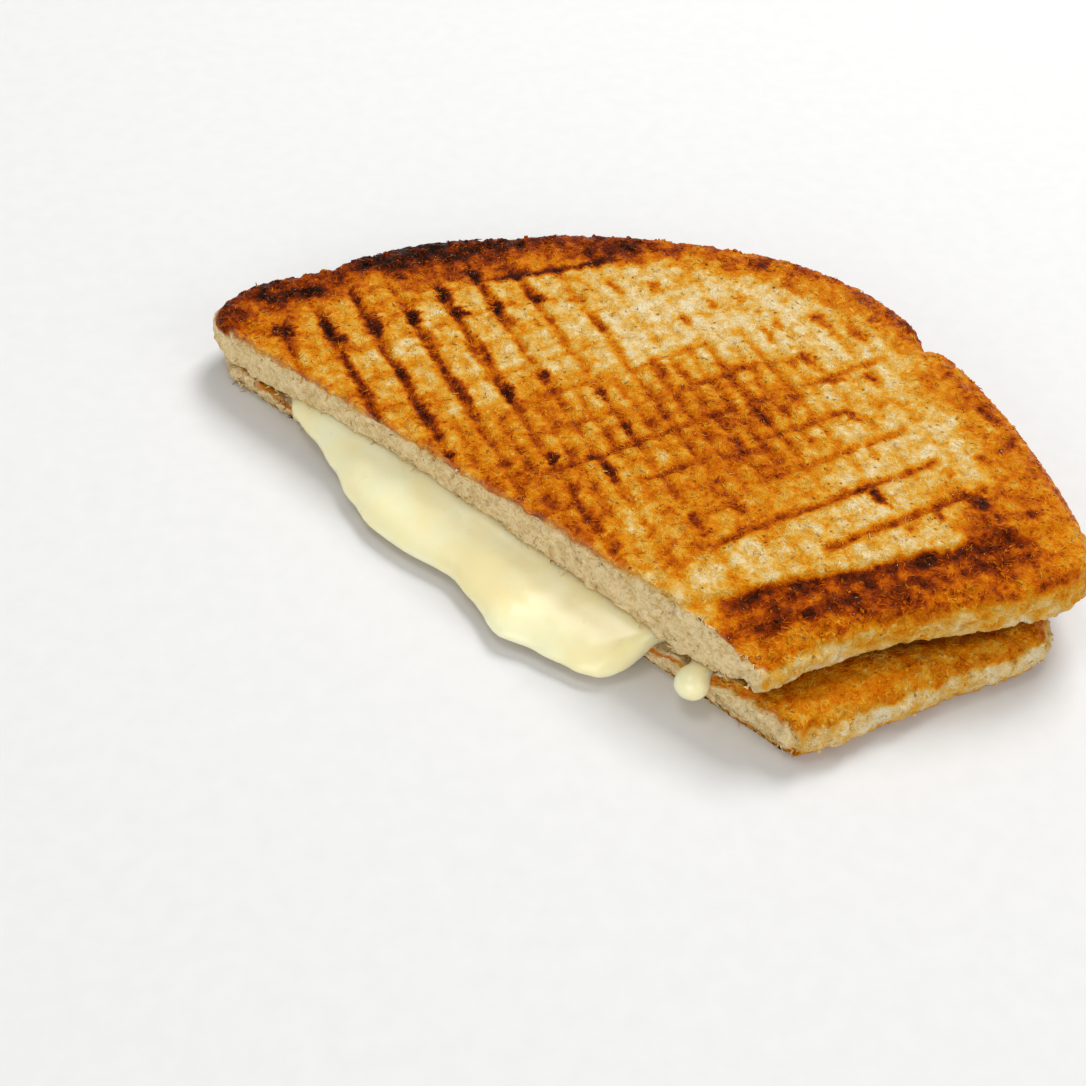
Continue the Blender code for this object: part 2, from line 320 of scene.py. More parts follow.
@dataclass(frozen=True)
class SlicePlan:
    """Plan of a slice: points of its crust, and the numbers of those that are corners."""

    crust: tuple[Pair, ...]
    corners: tuple[int, ...]
    step: float = 0.8
    points_at_once: int = 4096

    def crust_line(self) -> Array:
        """Return points along the smooth crust, from the front corner to the tip."""
        run = []
        spots = [np.array(point) for point in self.crust]
        for index in range(len(spots) - 1):
            start, end = spots[index], spots[index + 1]
            before = start - (end - start) if index in self.corners else spots[index - 1]
            after = end + (end - start) if index + 1 in self.corners else spots[index + 2]
            count = max(1, round(math.dist(start, end) / self.step))
            t = np.arange(count)[:, None] / count
            leave, arrive = (end - before) / 2, (after - start) / 2
            run.append(
                start * (2 * t**3 - 3 * t**2 + 1)
                + end * (3 * t**2 - 2 * t**3)
                + leave * (t**3 - 2 * t**2 + t)
                + arrive * (t**3 - t**2)
            )
        return np.vstack(run)

    def outline(self) -> Array:
        """Return the closed outline: the crust, then the straight cut."""
        corner, tip = np.array(self.crust[0]), np.array(CUT.tip)
        count = round(math.dist(corner, tip) / self.step)
        share = np.arange(count)[:, None] / count
        return np.vstack((self.crust_line(), tip + (corner - tip) * share))

    def closeness(self, x: Array, y: Array) -> Array:
        """Return how near points lie to the crust.

        Args:
            x: Plan positions along the crust.
            y: Plan positions towards the dome.

        Returns:
            0 in the middle of the cut, rising to 1 at the crust.
        """
        line = np.vstack((self.crust_line(), CUT.tip)) - CUT.middle
        bearings = np.arctan2(line @ CUT.along, -(line @ CUT.outward))
        order = np.argsort(bearings)
        offset = np.column_stack((x, y)) - CUT.middle
        bearing = np.arctan2(offset @ CUT.along, -(offset @ CUT.outward))
        reach = np.interp(bearing, bearings[order], np.linalg.norm(line, axis=1)[order])
        return np.linalg.norm(offset, axis=1) / reach

    def crust_distance(self, x: Array, y: Array) -> Array:
        """Return how far points lie from the crust line.

        Args:
            x: Plan positions along the crust.
            y: Plan positions towards the dome.

        Returns:
            Distances in millimetres.
        """
        line = self.crust_line()
        gaps = np.empty(len(x))
        for start in range(0, len(x), self.points_at_once):
            part = slice(start, start + self.points_at_once)
            dx = x[part, None] - line[None, :, 0]
            dy = y[part, None] - line[None, :, 1]
            gaps[part] = np.sqrt((dx * dx + dy * dy).min(axis=1))
        return gaps


TOP_PLAN = SlicePlan(
    (
        (12.0, -2.0), (18.0, -0.8), (30.0, 1.1), (43.0, 0.3), (54.0, 0.8), (59.4, 4.4),
        (61.6, 14.0), (62.0, 27.0), (61.0, 39.0), (59.4, 47.0), (56.4, 48.8), (57.4, 56.0),
        (52.0, 68.0), (42.0, 78.0), (27.0, 86.3), (12.0, 91.6), (-8.0, 94.9), (-22.0, 93.8),
        (-24.2, 92.2), (-37.5, 90.6), (-44.0, 85.0), (-42.6, 79.0),
    ),
    corners=(0, 10, 17, 18, 21),
)
BOTTOM_PLAN = SlicePlan(
    (
        (15.3, -6.9), (23.0, -6.0), (38.0, -3.2), (51.0, -1.0), (55.4, 3.6), (57.4, 14.0),
        (58.4, 27.0), (57.8, 39.0), (56.0, 48.0), (54.6, 56.0), (49.6, 67.0), (40.0, 76.6),
        (25.0, 84.6), (10.0, 89.8), (-8.0, 93.0), (-23.0, 91.6), (-36.0, 88.8), (-42.4, 84.4),
        (-42.6, 79.0),
    ),
    corners=(0, 18),
)


@dataclass(frozen=True)
class PressedShape:
    """Heights of the faces that the press left, in millimetres above the table."""

    tip_height: float = 10.5
    corner_height: float = 16.0
    corner_droop: float = 3.4
    corner_droop_reach: float = 7.0
    front_droop: float = 1.6
    front_droop_reach: float = 4.0
    seam_height: float = 5.0
    tip_thinning: float = 1.2
    thinning_reach: float = 30.0
    front_seam_rise: float = 3.2
    front_seam_reach: float = 13.0
    cheese_thickness: float = 2.2
    cheese_swell: float = 2.9
    swell_centre: float = 46.0
    swell_half_length: float = 25.0
    swell_depth: float = 12.0
    touch_gap: float = 0.4
    pinch_start: float = 0.9
    pinch_end: float = 0.975
    pinch_share: float = 0.6
    pinch_clear_of_cut: float = 16.0
    gape_centre: float = 41.0
    gape_half_length: float = 14.0
    gape_depth: float = 14.0
    gape_share: float = 0.65
    closed_share: float = 0.84
    tip_closed: float = 8.0
    tip_open: float = 18.0
    corner_open: float = 82.5
    corner_closed: float = 92.0
    plug_centre: float = 83.9
    plug_half_length: float = 1.9
    closed_depth: float = 7.0
    dip_centre: float = 88.0
    dip_half_length: float = 4.5
    seam_dip: float = 1.0

    def face(self, x: Array, y: Array) -> Array:
        """Return the height of the top face, which falls towards the tip."""
        run, _ = CUT.coordinates(x, y)
        plane = self.tip_height + (self.corner_height - self.tip_height) * run / CUT.length
        gap = np.hypot(x - CUT.corner[0], y - CUT.corner[1])
        corner = self.corner_droop * hump(gap, 0.0, self.corner_droop_reach)
        lip = (self.front_droop_reach - y) / self.front_droop_reach
        return plane - np.maximum(corner, self.front_droop * smooth_step(lip))

    def seam(self, x: Array, y: Array) -> Array:
        """Return the height of the middle of the filling."""
        run, reach = CUT.coordinates(x, y)
        thin = smooth_step((self.thinning_reach - run) / self.thinning_reach)
        rise = smooth_step((self.front_seam_reach - y) / self.front_seam_reach)
        dip = self.seam_dip * hump(run, self.dip_centre, self.dip_half_length)
        dip = dip * np.exp(np.minimum(reach, 0.0) / self.swell_depth)
        return self.seam_height - self.tip_thinning * thin + self.front_seam_rise * rise - dip

    def filling_half(self, x: Array, y: Array) -> Array:
        """Return half the height of the space between the slices.

        Args:
            x: Plan positions along the crust.
            y: Plan positions towards the dome.

        Returns:
            Half heights in millimetres.
        """
        run, reach = CUT.coordinates(x, y)
        closeness = TOP_PLAN.closeness(x, y)
        pinched = smooth_step((closeness - self.pinch_start) / (self.pinch_end - self.pinch_start))
        gape = self.gape_share * hump(x, self.gape_centre, self.gape_half_length)
        gape = gape * smooth_step((self.gape_depth - y) / self.gape_depth)
        pinched = pinched * (1 - gape) * smooth_step(-reach / self.pinch_clear_of_cut)
        swell = self.cheese_swell * hump(run, self.swell_centre, self.swell_half_length)
        swell = swell * np.exp(np.minimum(reach, 0.0) / self.swell_depth)
        half = (self.cheese_thickness + swell) / 2 + self.touch_gap
        tip = smooth_step((self.tip_open - run) / (self.tip_open - self.tip_closed))
        corner = (run - self.corner_open) / (self.corner_closed - self.corner_open)
        plug = hump(run, self.plug_centre, self.plug_half_length)
        closed = np.maximum(np.maximum(tip, plug), smooth_step(corner))
        closed = self.closed_share * closed * np.exp(np.minimum(reach, 0.0) / self.closed_depth)
        return half * (1.0 - self.pinch_share * pinched) * (1.0 - closed)

    def underside(self, x: Array, y: Array) -> Array:
        """Return the height of the top slice's underside."""
        return self.seam(x, y) + self.filling_half(x, y)

    def lower_face(self, x: Array, y: Array) -> Array:
        """Return the height of the bottom slice's upper face."""
        return self.seam(x, y) - self.filling_half(x, y)


SHAPE = PressedShape()


def blend_patches(patches: tuple, x: Array, y: Array) -> Array:
    """Blend patches of a value into a smooth field.

    Args:
        patches: Each patch as x, y, reach in millimetres and value.
        x: Plan positions along the crust.
        y: Plan positions towards the dome.

    Returns:
        The value at every position, nearest patches counting most.
    """
    total = np.zeros(len(x))
    weights = np.full(len(x), 1e-9)
    for patch_x, patch_y, reach, value in patches:
        weight = np.exp(-((x - patch_x) ** 2 + (y - patch_y) ** 2) / reach**2)
        total += weight * value
        weights += weight
    return total / weights


@dataclass(frozen=True)
class Scorch:
    """A small dark spot: its middle, half length up the marks, half width and darkness."""

    x: float
    y: float
    half_length: float
    half_width: float
    darkness: float


# Broad browning of the top face: x, y, reach and browning, from 0 pale to 1 charred
BROWNED_PATCHES = (
    # Rim of the dome from the tip round to the heel
    (-40, 84, 4, 0.72), (-33, 86, 4, 0.8), (-26, 88, 4, 0.72), (-18, 91, 4, 0.86),
    (-10, 91, 4, 0.9), (-2, 90.5, 4, 0.88), (7, 89, 4, 0.78), (15, 87, 4, 0.8),
    (21, 83.5, 3, 0.78), (28, 81, 4, 0.56), (37, 75.5, 4, 0.52), (45, 70, 4, 0.58),
    (51, 63, 3, 0.62), (55, 56, 3, 0.62), (46, 64, 3, 0.42),
    # Golden belt inside the rim
    (-36, 78, 4, 0.44), (-29, 78, 4, 0.36), (-30, 71, 4, 0.38), (-20, 83.5, 3, 0.32),
    (-11, 85.5, 3, 0.6), (-3, 84.5, 3, 0.55), (6, 84, 3, 0.44), (12, 84.5, 3, 0.5),
    # Pale squares of the upper left
    (-22, 72, 3, 0.35), (-22, 65, 4, 0.2), (-16, 66, 4, 0.2), (-11, 76, 3, 0.16),
    (-10, 67, 4, 0.2), (-4, 67, 4, 0.19), (-18, 77, 3, 0.34), (-4, 77, 3, 0.22),
    (-26, 62, 3, 0.38), (-16, 58, 3, 0.26), (-8, 59, 4, 0.22), (1, 66, 4, 0.12),
    (0, 77, 3, 0.22), (6, 75, 4, 0.18), (2, 59, 4, 0.2), (8, 64, 5, 0.16),
    # Upper right, pale with golden veins
    (14, 76, 4, 0.18), (22, 75, 4, 0.14), (30, 72, 4, 0.18), (13, 67, 4, 0.08),
    (19, 65, 4, 0.04), (26, 67, 4, 0.08), (34, 66, 4, 0.1), (40, 62, 4, 0.1),
    (17, 58, 4, 0.1), (26, 59, 4, 0.09), (33, 58, 4, 0.14), (40, 55, 4, 0.12),
    (47, 56, 4, 0.34), (46, 49, 4, 0.12),
    # Belt across the middle, pressed twice and evenly brown
    (-18, 50, 4, 0.36), (-12, 46, 4, 0.4), (-14, 53, 3, 0.22), (-4, 47, 4, 0.4),
    (5, 50, 4, 0.24), (13, 50, 4, 0.34), (21, 52, 4, 0.2), (29, 50, 4, 0.24),
    (37, 49, 4, 0.22), (-10, 39, 4, 0.46), (-2, 41, 4, 0.42), (6, 42, 4, 0.34),
    (14, 43, 4, 0.44), (22, 44, 4, 0.44), (29, 43, 4, 0.46), (-5, 32, 4, 0.48),
    (3, 33, 4, 0.34), (10, 36, 4, 0.3), (17, 36, 4, 0.44), (24, 37, 4, 0.5),
    (31, 35, 4, 0.28),
    # Lower left, patchy
    (-2, 25, 4, 0.46), (5, 27, 3, 0.2), (3, 22, 3, 0.2), (11, 28, 4, 0.46),
    (11, 22, 4, 0.44), (18, 29, 4, 0.44), (18, 22, 4, 0.38), (24, 30, 4, 0.46),
    (6, 17, 3, 0.42), (2, 16, 2.5, 0.2), (8, 12.5, 3, 0.12), (25, 24, 3, 0.24),
    # Pale strip above the pressed band, its browning raised a little as painted shade for the
    # slight shade on it
    (14, 13, 3, 0.19), (21, 14.5, 3.5, 0.18), (28, 13, 3.5, 0.17), (35, 13, 3.5, 0.16),
    (41, 14, 3, 0.19), (31, 19, 3, 0.14), (24, 18, 3, 0.22), (46, 13, 2.5, 0.58),
    # Right side
    (31, 26, 3, 0.16), (38, 27, 4, 0.12), (38, 21, 3, 0.14), (38, 35, 4, 0.14),
    (36, 41, 3, 0.12), (44, 41, 4, 0.22), (43, 34, 4, 0.2), (46, 26, 4, 0.08),
    (45, 20, 3, 0.34), (49, 34, 3, 0.22), (50, 46, 3, 0.18), (49, 22, 2.5, 0.12),
    # Front edge below the pressed band
    (14, 1, 2.5, 0.48), (20, 1.5, 2.5, 0.5), (27, 0.5, 2.5, 0.54), (35, 1, 3, 0.56),
    (43, 1, 3, 0.55), (50, 2, 3, 0.55),
    # Crust rim of the loaf's side
    (54, 48, 3, 0.5), (57, 42, 3, 0.5), (53, 40, 3, 0.38), (58, 33, 3, 0.52),
    (54, 30, 3, 0.38), (59, 24, 3, 0.54), (54, 21, 3, 0.44), (58, 14, 3, 0.48),
    (53, 14, 3, 0.52), (58, 7, 3, 0.38),
)

# Browning of the bottom slice's crust, in the same form
LOWER_RIM_PATCHES = (
    (15, -6, 2.5, 0.3), (19, -5.5, 2.5, 0.24), (24, -5, 2.5, 0.2), (28, -4.5, 2.0, 0.15),
    (32, -4, 2, 0.27), (38, -3, 4, 0.21), (48, -1, 4, 0.22), (55, 3, 4, 0.25),
    (58, 14, 5, 0.42), (58, 28, 6, 0.44), (57, 42, 6, 0.48), (52, 62, 7, 0.5),
    (38, 78, 7, 0.55), (20, 87, 6, 0.6), (0, 92, 6, 0.64), (-22, 92, 6, 0.6),
    (-38, 88, 5, 0.55),
)

# How strongly the upright marks are browned: x, y, reach and strength
UPRIGHT_STRENGTH = (
    (-24, 76, 6, 0.5), (-12, 76, 6, 0.5), (1, 75, 5, 0.42), (12, 74, 6, 0.12),
    (24, 72, 7, 0.04), (36, 66, 8, 0.02), (-26, 64, 5, 0.36), (-15, 64, 6, 0.36),
    (-3, 64, 6, 0.3), (8, 64, 5, 0.18), (20, 62, 7, 0.07), (-17, 52, 5, 0.42),
    (-7, 54, 5, 0.36), (4, 52, 5, 0.22), (14, 50, 6, 0.3), (26, 48, 6, 0.3),
    (40, 50, 7, 0.06), (-8, 42, 6, 0.26), (4, 42, 6, 0.26), (16, 42, 6, 0.32),
    (27, 40, 6, 0.34), (38, 38, 6, 0.12), (48, 38, 6, 0.05), (-2, 30, 5, 0.24),
    (10, 29, 6, 0.16), (22, 31, 5, 0.26), (34, 28, 6, 0.14), (46, 26, 7, 0.04),
    (2, 20, 5, 0.14), (14, 18, 6, 0.08), (28, 16, 7, 0.03), (44, 14, 6, 0.05),
    (-30, 86, 7, 0.1), (-10, 88, 7, 0.06), (12, 86, 7, 0.06),
)

# The same for the marks between them, left by the second pressing
BETWEEN_STRENGTH = (
    (-14, 46, 5, 0.14), (-4, 44, 6, 0.24), (7, 45, 6, 0.22), (18, 46, 6, 0.3),
    (28, 43, 6, 0.3), (22, 35, 5, 0.28), (10, 34, 6, 0.12), (-4, 34, 5, 0.18),
    (38, 42, 5, 0.06), (-10, 60, 8, 0.02), (10, 62, 8, 0.02), (30, 60, 8, 0.02),
    (10, 22, 7, 0.03), (30, 22, 7, 0.03), (48, 30, 7, 0.0), (-24, 72, 8, 0.0),
)

# Level marks: row, where it starts and ends in x, and strength
LEVEL_MARKS = (
    (0, -9, 17, 0.34), (0, 17, 31, 0.26), (0, 31, 47, 0.22), (1, -3, 8, 0.24), (1, 11, 17, 0.12),
    (1, 17, 30, 0.3), (2, -5, 8, 0.24), (2, 12, 26, 0.16), (3, 1, 9, 0.14), (-1, -8, 0, 0.14),
    (-1, 6, 17, 0.26), (-1, 25, 39, 0.28), (-2, 12, 26, 0.1), (-2, 25, 37, 0.36),
    (-2, 38, 44, 0.26), (-3, 11, 25, 0.34), (-3, 25, 36, 0.46), (-3, 36, 46, 0.28),
    (-4, 25, 38, 0.3), (-4, 36, 50, 0.4), (3, -23, -2, 0.09), (4, -25, 4, 0.1), (5, -26, 6, 0.11),
    (6, -24, 2, 0.1), (3, 12, 40, 0.04), (4, 10, 36, 0.04),
)

# Small dark spots: x, y, half length up the marks, half width and darkness
SCORCH_SPOTS = (
    # Upper ends of the upright marks
    (-34.5, 76.3, 1.3, 1.3, 0.62), (-28.1, 76, 2.8, 0.8, 0.5), (-27.2, 72.7, 1.2, 1.2, 0.58),
    (-21.3, 75, 2.6, 1, 0.58), (-22.8, 82, 1.6, 0.6, 0.4), (-15.5, 75, 1.8, 0.9, 0.6),
    (-9.6, 78.7, 1.8, 0.9, 0.5), (-8.7, 74, 1.6, 0.9, 0.6), (-2.6, 73.4, 1.8, 0.8, 0.52),
    (2.9, 77.5, 1.3, 0.5, 0.4), (3.7, 74.5, 0.9, 0.9, 0.52), (-1.8, 69.9, 1.2, 0.6, 0.36),
    # Runs of the marks below them
    (-26.6, 66, 3.6, 0.45, 0.34), (-25.5, 59.6, 3.2, 0.6, 0.44), (-19.6, 61.5, 3.6, 0.6, 0.4),
    (-18.3, 52, 4, 0.8, 0.46), (-12.3, 56, 3.4, 0.6, 0.48), (-6.2, 54.4, 1.8, 0.7, 0.6),
    (-7.1, 64, 2.6, 0.4, 0.36), (-8.7, 63, 2.6, 0.4, 0.3), (0, 56.6, 1, 0.8, 0.5),
    (-13.8, 69, 1.8, 0.7, 0.34), (10.6, 66.3, 1.6, 0.7, 0.31), (9.3, 72.4, 0.7, 1.4, 0.25),
    (15.4, 74.3, 1.2, 0.7, 0.22), (21.3, 72.8, 1.2, 0.8, 0.31), (23.2, 63.3, 1.4, 0.6, 0.27),
    (28.6, 66, 0.9, 0.6, 0.27), (33.3, 66.4, 1.1, 0.8, 0.25), (36.2, 58.8, 1, 0.7, 0.3),
    (33.8, 57.4, 1.6, 0.5, 0.25), (42.4, 58.2, 1.6, 0.8, 0.37), (46.3, 54, 1.3, 0.8, 0.31),
    (37, 50.3, 1.5, 0.8, 0.38), (16.3, 53.5, 1.4, 0.6, 0.28), (34, 62.5, 1.4, 0.6, 0.16),
    # Belt across the middle
    (-3.9, 39.5, 1.4, 0.6, 0.62), (2.9, 34.5, 1.6, 0.7, 0.5), (26.3, 40.2, 2.2, 0.8, 0.37),
    (16.7, 46, 1.6, 0.7, 0.24), (13.3, 44.6, 1.8, 0.6, 0.24), (20.6, 34.5, 3.2, 0.9, 0.19),
    (14.2, 38, 2.2, 0.7, 0.21), (24.9, 48.6, 1.6, 0.6, 0.27), (-16.8, 43.3, 0.9, 0.7, 0.46),
    (-10, 39.8, 1, 0.8, 0.3), (7.7, 42.8, 0.8, 0.7, 0.44), (6.4, 50.6, 0.8, 0.7, 0.46),
    (32, 41.5, 1.4, 0.6, 0.25), (10.8, 22.6, 1.7, 0.7, 0.3), (17, 23.2, 1.1, 1, 0.24),
    (-2.4, 27.5, 3.2, 0.9, 0.22), (-1, 20.8, 1.6, 1, 0.3), (6, 16.3, 1, 2, 0.22),
    # Right side
    (38.6, 36.6, 1.4, 0.6, 0.41), (35.2, 20.4, 1.6, 0.8, 0.56), (39.2, 44.2, 0.7, 1.4, 0.33),
    (44.2, 43.8, 1.3, 0.7, 0.31), (38.3, 29.2, 1.6, 0.5, 0.25), (46.3, 22.6, 0.8, 1, 0.26),
    (47.6, 16, 1.6, 1.3, 0.46), (41.5, 15.2, 1, 0.5, 0.34), (53.2, 12, 1, 0.8, 0.26),
    (51.8, 24, 1.5, 0.6, 0.24), (55.6, 40, 4, 0.8, 0.16), (57, 31, 4, 0.9, 0.15),
    # Char on the pressed band
    (48.3, 10, 1.1, 1.3, 0.34), (42.5, 9.3, 1, 1.1, 0.3), (36.4, 8.5, 1, 1, 0.3),
    (28.5, 7, 1.2, 0.8, 0.34), (25.4, 8.6, 1.3, 1.1, 0.2), (13.4, 8.4, 1, 1.3, 0.3),
    (18.6, 8.8, 0.9, 1.4, 0.18), (26, 1.6, 2, 1.2, 0.2), (31, 4.4, 1, 1.4, 0.2),
    # Char on the dome's rim
    (-34.8, 84.6, 1.6, 1.1, 0.34), (-29, 84.6, 1.2, 1.5, 0.4), (-17, 90.4, 1.8, 1.6, 0.3),
    (-10.4, 90.6, 1.8, 1.6, 0.3), (-4, 90, 1.6, 1.5, 0.28), (2, 89.2, 1.6, 1.3, 0.28),
    (-4.2, 82.4, 1.8, 0.9, 0.52), (14.2, 83.4, 1.4, 0.8, 0.3), (20.4, 82.4, 1.8, 0.9, 0.26),
    (27.3, 80.4, 1.5, 1.1, 0.3), (34.2, 74.6, 1.6, 1, 0.22), (39, 73.8, 1.4, 1.3, 0.3),
    (2.6, 81.6, 0.8, 1.4, 0.34), (41, 67, 1.4, 0.7, 0.26), (54.4, 55, 2.2, 0.9, 0.26),
    (50, 56.2, 0.7, 0.7, 0.36),
)
SCORCHES = tuple(Scorch(*spot) for spot in SCORCH_SPOTS)


@dataclass(frozen=True)
class PressPattern:
    """Marks of the ribbed press on the top face, in plan."""

    upright_start: float = -28.4
    upright_level: float = 75.0
    upright_pitch: float = 6.25
    upright_lean: float = 0.15
    level_start: float = 37.7
    level_pitch: float = 7.3
    level_rise: float = 0.2
    level_fade: float = 2.0
    core: float = 0.66
    halo: float = 1.25
    mark_browning: float = 0.70
    halo_browning: float = 0.43
    halo_share: float = 0.7
    full_strength: float = 0.42
    least_pressed: float = 0.35
    band_top: float = 10.2
    band_top_rise: float = 4.0
    band_rise_start: float = 42.0
    band_rise_length: float = 9.0
    band_low: float = 2.6
    band_dip: float = 1.6
    band_dip_centre: float = 27.0
    band_dip_half_length: float = 5.0
    band_start: float = 6.0
    band_end: float = 53.0
    band_top_fade: float = 0.7
    band_low_fade: float = 2.0
    band_end_fade: float = 5.0
    band_browning: float = 0.63
    streak_browning: float = 0.14
    rim_line_level: float = 80.4
    rim_line_start: float = -6.0
    rim_line_end: float = 20.0
    rim_line_bow: float = 0.004
    rim_line_half_width: float = 0.8
    rim_line_browning: float = 0.6
    scorch_core: float = 1.45
    scorch_fall: float = 0.85
    shade_gain: float = 1.35
    vein_size: float = 3.4
    vein_browning: float = 0.12
    broad_wave: Grain = Grain(0.35, 5.0, 0.0, 1)
    fine_wave: Grain = Grain(0.22, 1.7, 9.0, 1)
    dashes: Grain = Grain(0.95, 2.2, 40.0, 2)
    ragged: Grain = Grain(1.1, 1.1, 90.0)
    drift_x: Grain = Grain(1.3, 4.0, 5.0, 1)
    drift_y: Grain = Grain(1.3, 4.0, 25.0, 1)
    blotches: Grain = Grain(0.11, 3.2)
    specks: Grain = Grain(0.08, 1.1, 3.0)
    char: Grain = Grain(0.20, 2.4, 60.0)
    noise: CrumbNoise = field(default_factory=lambda: CrumbNoise(11))

    def upright_gap(self, x: Array, y: Array, shift: float = 0.0) -> Array:
        """Return the distance to the nearest upright mark.

        Args:
            x: Plan positions along the crust.
            y: Plan positions towards the dome.
            shift: Offset of the marks as a share of their pitch.

        Returns:
            Distances in millimetres.
        """
        lean = (self.upright_level - y) * self.upright_lean
        place = (x - self.upright_start - lean) / self.upright_pitch + shift
        gap = np.abs(place - np.round(place)) * self.upright_pitch
        return gap * math.cos(math.atan(self.upright_lean))

    def level_place(self, x: Array, y: Array) -> tuple[Array, Array]:
        """Return the row of the nearest level mark and the distance to it."""
        place = (y - self.level_start - x * self.level_rise) / self.level_pitch
        row = np.round(place)
        gap = np.abs(place - row) * self.level_pitch
        return row, gap * math.cos(math.atan(self.level_rise))

    def level_strength(self, x: Array, row: Array) -> Array:
        """Return how strongly the level marks are browned."""
        strength = np.zeros(len(x))
        for mark_row, start, end, value in LEVEL_MARKS:
            ends = smooth_step((x - start) / self.level_fade + 0.5)
            ends = ends * smooth_step((end - x) / self.level_fade + 0.5)
            strength = np.maximum(strength, value * ends * (row == mark_row))
        return strength

    def band(self, x: Array, y: Array) -> Array:
        """Return how far points lie inside the dark pressed band.

        Args:
            x: Plan positions along the crust.
            y: Plan positions towards the dome.

        Returns:
            1 well inside the band and 0 outside it.
        """
        rise = smooth_step((x - self.band_rise_start) / self.band_rise_length)
        top = self.band_top + self.band_top_rise * rise
        dip = hump(x, self.band_dip_centre, self.band_dip_half_length)
        low = self.band_low - self.band_dip * dip
        inside = smooth_step((top - y) / self.band_top_fade)
        inside = inside * smooth_step((y - low) / self.band_low_fade)
        ends = smooth_step((x - self.band_start) / self.band_end_fade)
        return inside * ends * smooth_step((self.band_end - x) / self.band_end_fade)

    def marks(self, points: Array) -> tuple[Array, Array, Array]:
        """Return the press marks at points of the top face.

        Args:
            points: Positions in millimetres, one row each.

        Returns:
            How much of each point is browned by a mark, how much it lies in the golden
            edge of one, and how deeply it is pressed, all 0 to 1.
        """
        noise = self.noise
        wave = self.broad_wave.over(noise, points) + self.fine_wave.over(noise, points)
        x, y = points[:, 0] + wave, points[:, 1] + wave
        dashes = 1.0 + self.dashes.over(noise, points)
        row, level_gap = self.level_place(x, y)
        sets = (
            (self.upright_gap(x, y), blend_patches(UPRIGHT_STRENGTH, x, y)),
            (self.upright_gap(x, y, 0.5), blend_patches(BETWEEN_STRENGTH, x, y)),
            (level_gap, self.level_strength(x, row)),
        )
        bare = np.ones(len(x))
        golden = np.zeros(len(x))
        pressed = np.zeros(len(x))
        for gap, strength in sets:
            share = np.clip(strength / self.full_strength, 0.0, 1.0)
            line = hump(gap, 0.0, self.core)
            bare *= 1 - np.clip(share * dashes * line, 0.0, 1.0)
            golden = np.maximum(golden, hump(gap, 0.0, self.halo) * share**0.5)
            depth = self.least_pressed + (1 - self.least_pressed) * share
            pressed = np.maximum(pressed, line * depth)
        return 1 - bare, golden, pressed

    def scorching(self, points: Array) -> Array:
        """Return the browning that the small dark spots add.

        Args:
            points: Positions in millimetres, one row each.

        Returns:
            Darkness from 0 to 1, the strongest spot's where they overlap.
        """
        ragged = 1 + self.ragged.over(self.noise, points)
        total = np.zeros(len(points))
        for spot in SCORCHES:
            dy = points[:, 1] - spot.y
            dx = points[:, 0] - spot.x + dy * self.upright_lean
            reach = np.sqrt((dx / spot.half_width) ** 2 + (dy / spot.half_length) ** 2)
            shade = smooth_step(self.scorch_core - reach * ragged * self.scorch_fall)
            total = np.maximum(total, spot.darkness * shade)
        return total

    def band_char(self, x: Array, y: Array, points: Array) -> Array:
        """Return how brown the pressed band is, with a dark streak along each edge."""
        streak = hump(y - 0.045 * (x - 20), 4.6, 1.2)
        streak = np.maximum(streak, hump(y, 9.0, 1.3))
        browning = self.band_browning + self.streak_browning * streak
        return browning + self.char.over(self.noise, points)

    def rim_line(self, x: Array, y: Array) -> Array:
        """Return the browning of the thin bowed line inside the dome's rim."""
        across = smooth_step((x - self.rim_line_start) / 4)
        across = across * smooth_step((self.rim_line_end - x) / 5)
        level = self.rim_line_level + self.rim_line_bow * (x - 8) ** 2
        return self.rim_line_browning * across * hump(y, level, self.rim_line_half_width)

    def browning(self, points: Array) -> Array:
        """Return how brown the top face is.

        Args:
            points: Positions in millimetres, one row each.

        Returns:
            Browning from 0 pale to 1 charred.
        """
        noise = self.noise
        straight_x, straight_y = points[:, 0], points[:, 1]
        x = straight_x + self.drift_x.over(noise, points)
        y = straight_y + self.drift_y.over(noise, points)
        base = blend_patches(BROWNED_PATCHES, x, y)
        base = base + self.blotches.over(noise, points) + self.specks.over(noise, points)
        veins = np.clip(noise.bubbles(points + 70.0, self.vein_size), 0.0, 1.0) ** 3
        base = base + self.vein_browning * veins
        covered, golden, _ = self.marks(points)
        base = base + np.maximum(self.halo_browning - base, 0.0) * golden * self.halo_share
        base = base + np.maximum(self.mark_browning - base, 0.0) * covered
        # The band's edges drift half as far along the crust as the patches, a quarter across
        band = self.band(x * 0.5 + straight_x * 0.5, y * 0.25 + straight_y * 0.75)
        brown = base * (1 - band) + self.band_char(x, straight_y, points) * band
        for shade in (self.rim_line(x, straight_y), self.scorching(points)):
            brown = 1 - (1 - brown) * (1 - np.clip(self.shade_gain * shade, 0.0, 1.0))
        return brown


PRESS = PressPattern()


def weighted_sum(tree: NodeTree, parts: tuple, start: float) -> NodeSocket:
    """Add patterns, each with its own weight.

    Args:
        tree: The material's nodes.
        parts: Pairs of a pattern's socket and its weight.
        start: Value that the patterns are added to.

    Returns:
        Socket of the sum.
    """
    total = None
    for socket, weight in parts:
        node = add_node(
            tree, "ShaderNodeMath", {"operation": "MULTIPLY_ADD"}, values={1: weight, 2: start},
            links={0: socket} if total is None else {0: socket, 2: total},
        )
        total = node.outputs[0]
    return total


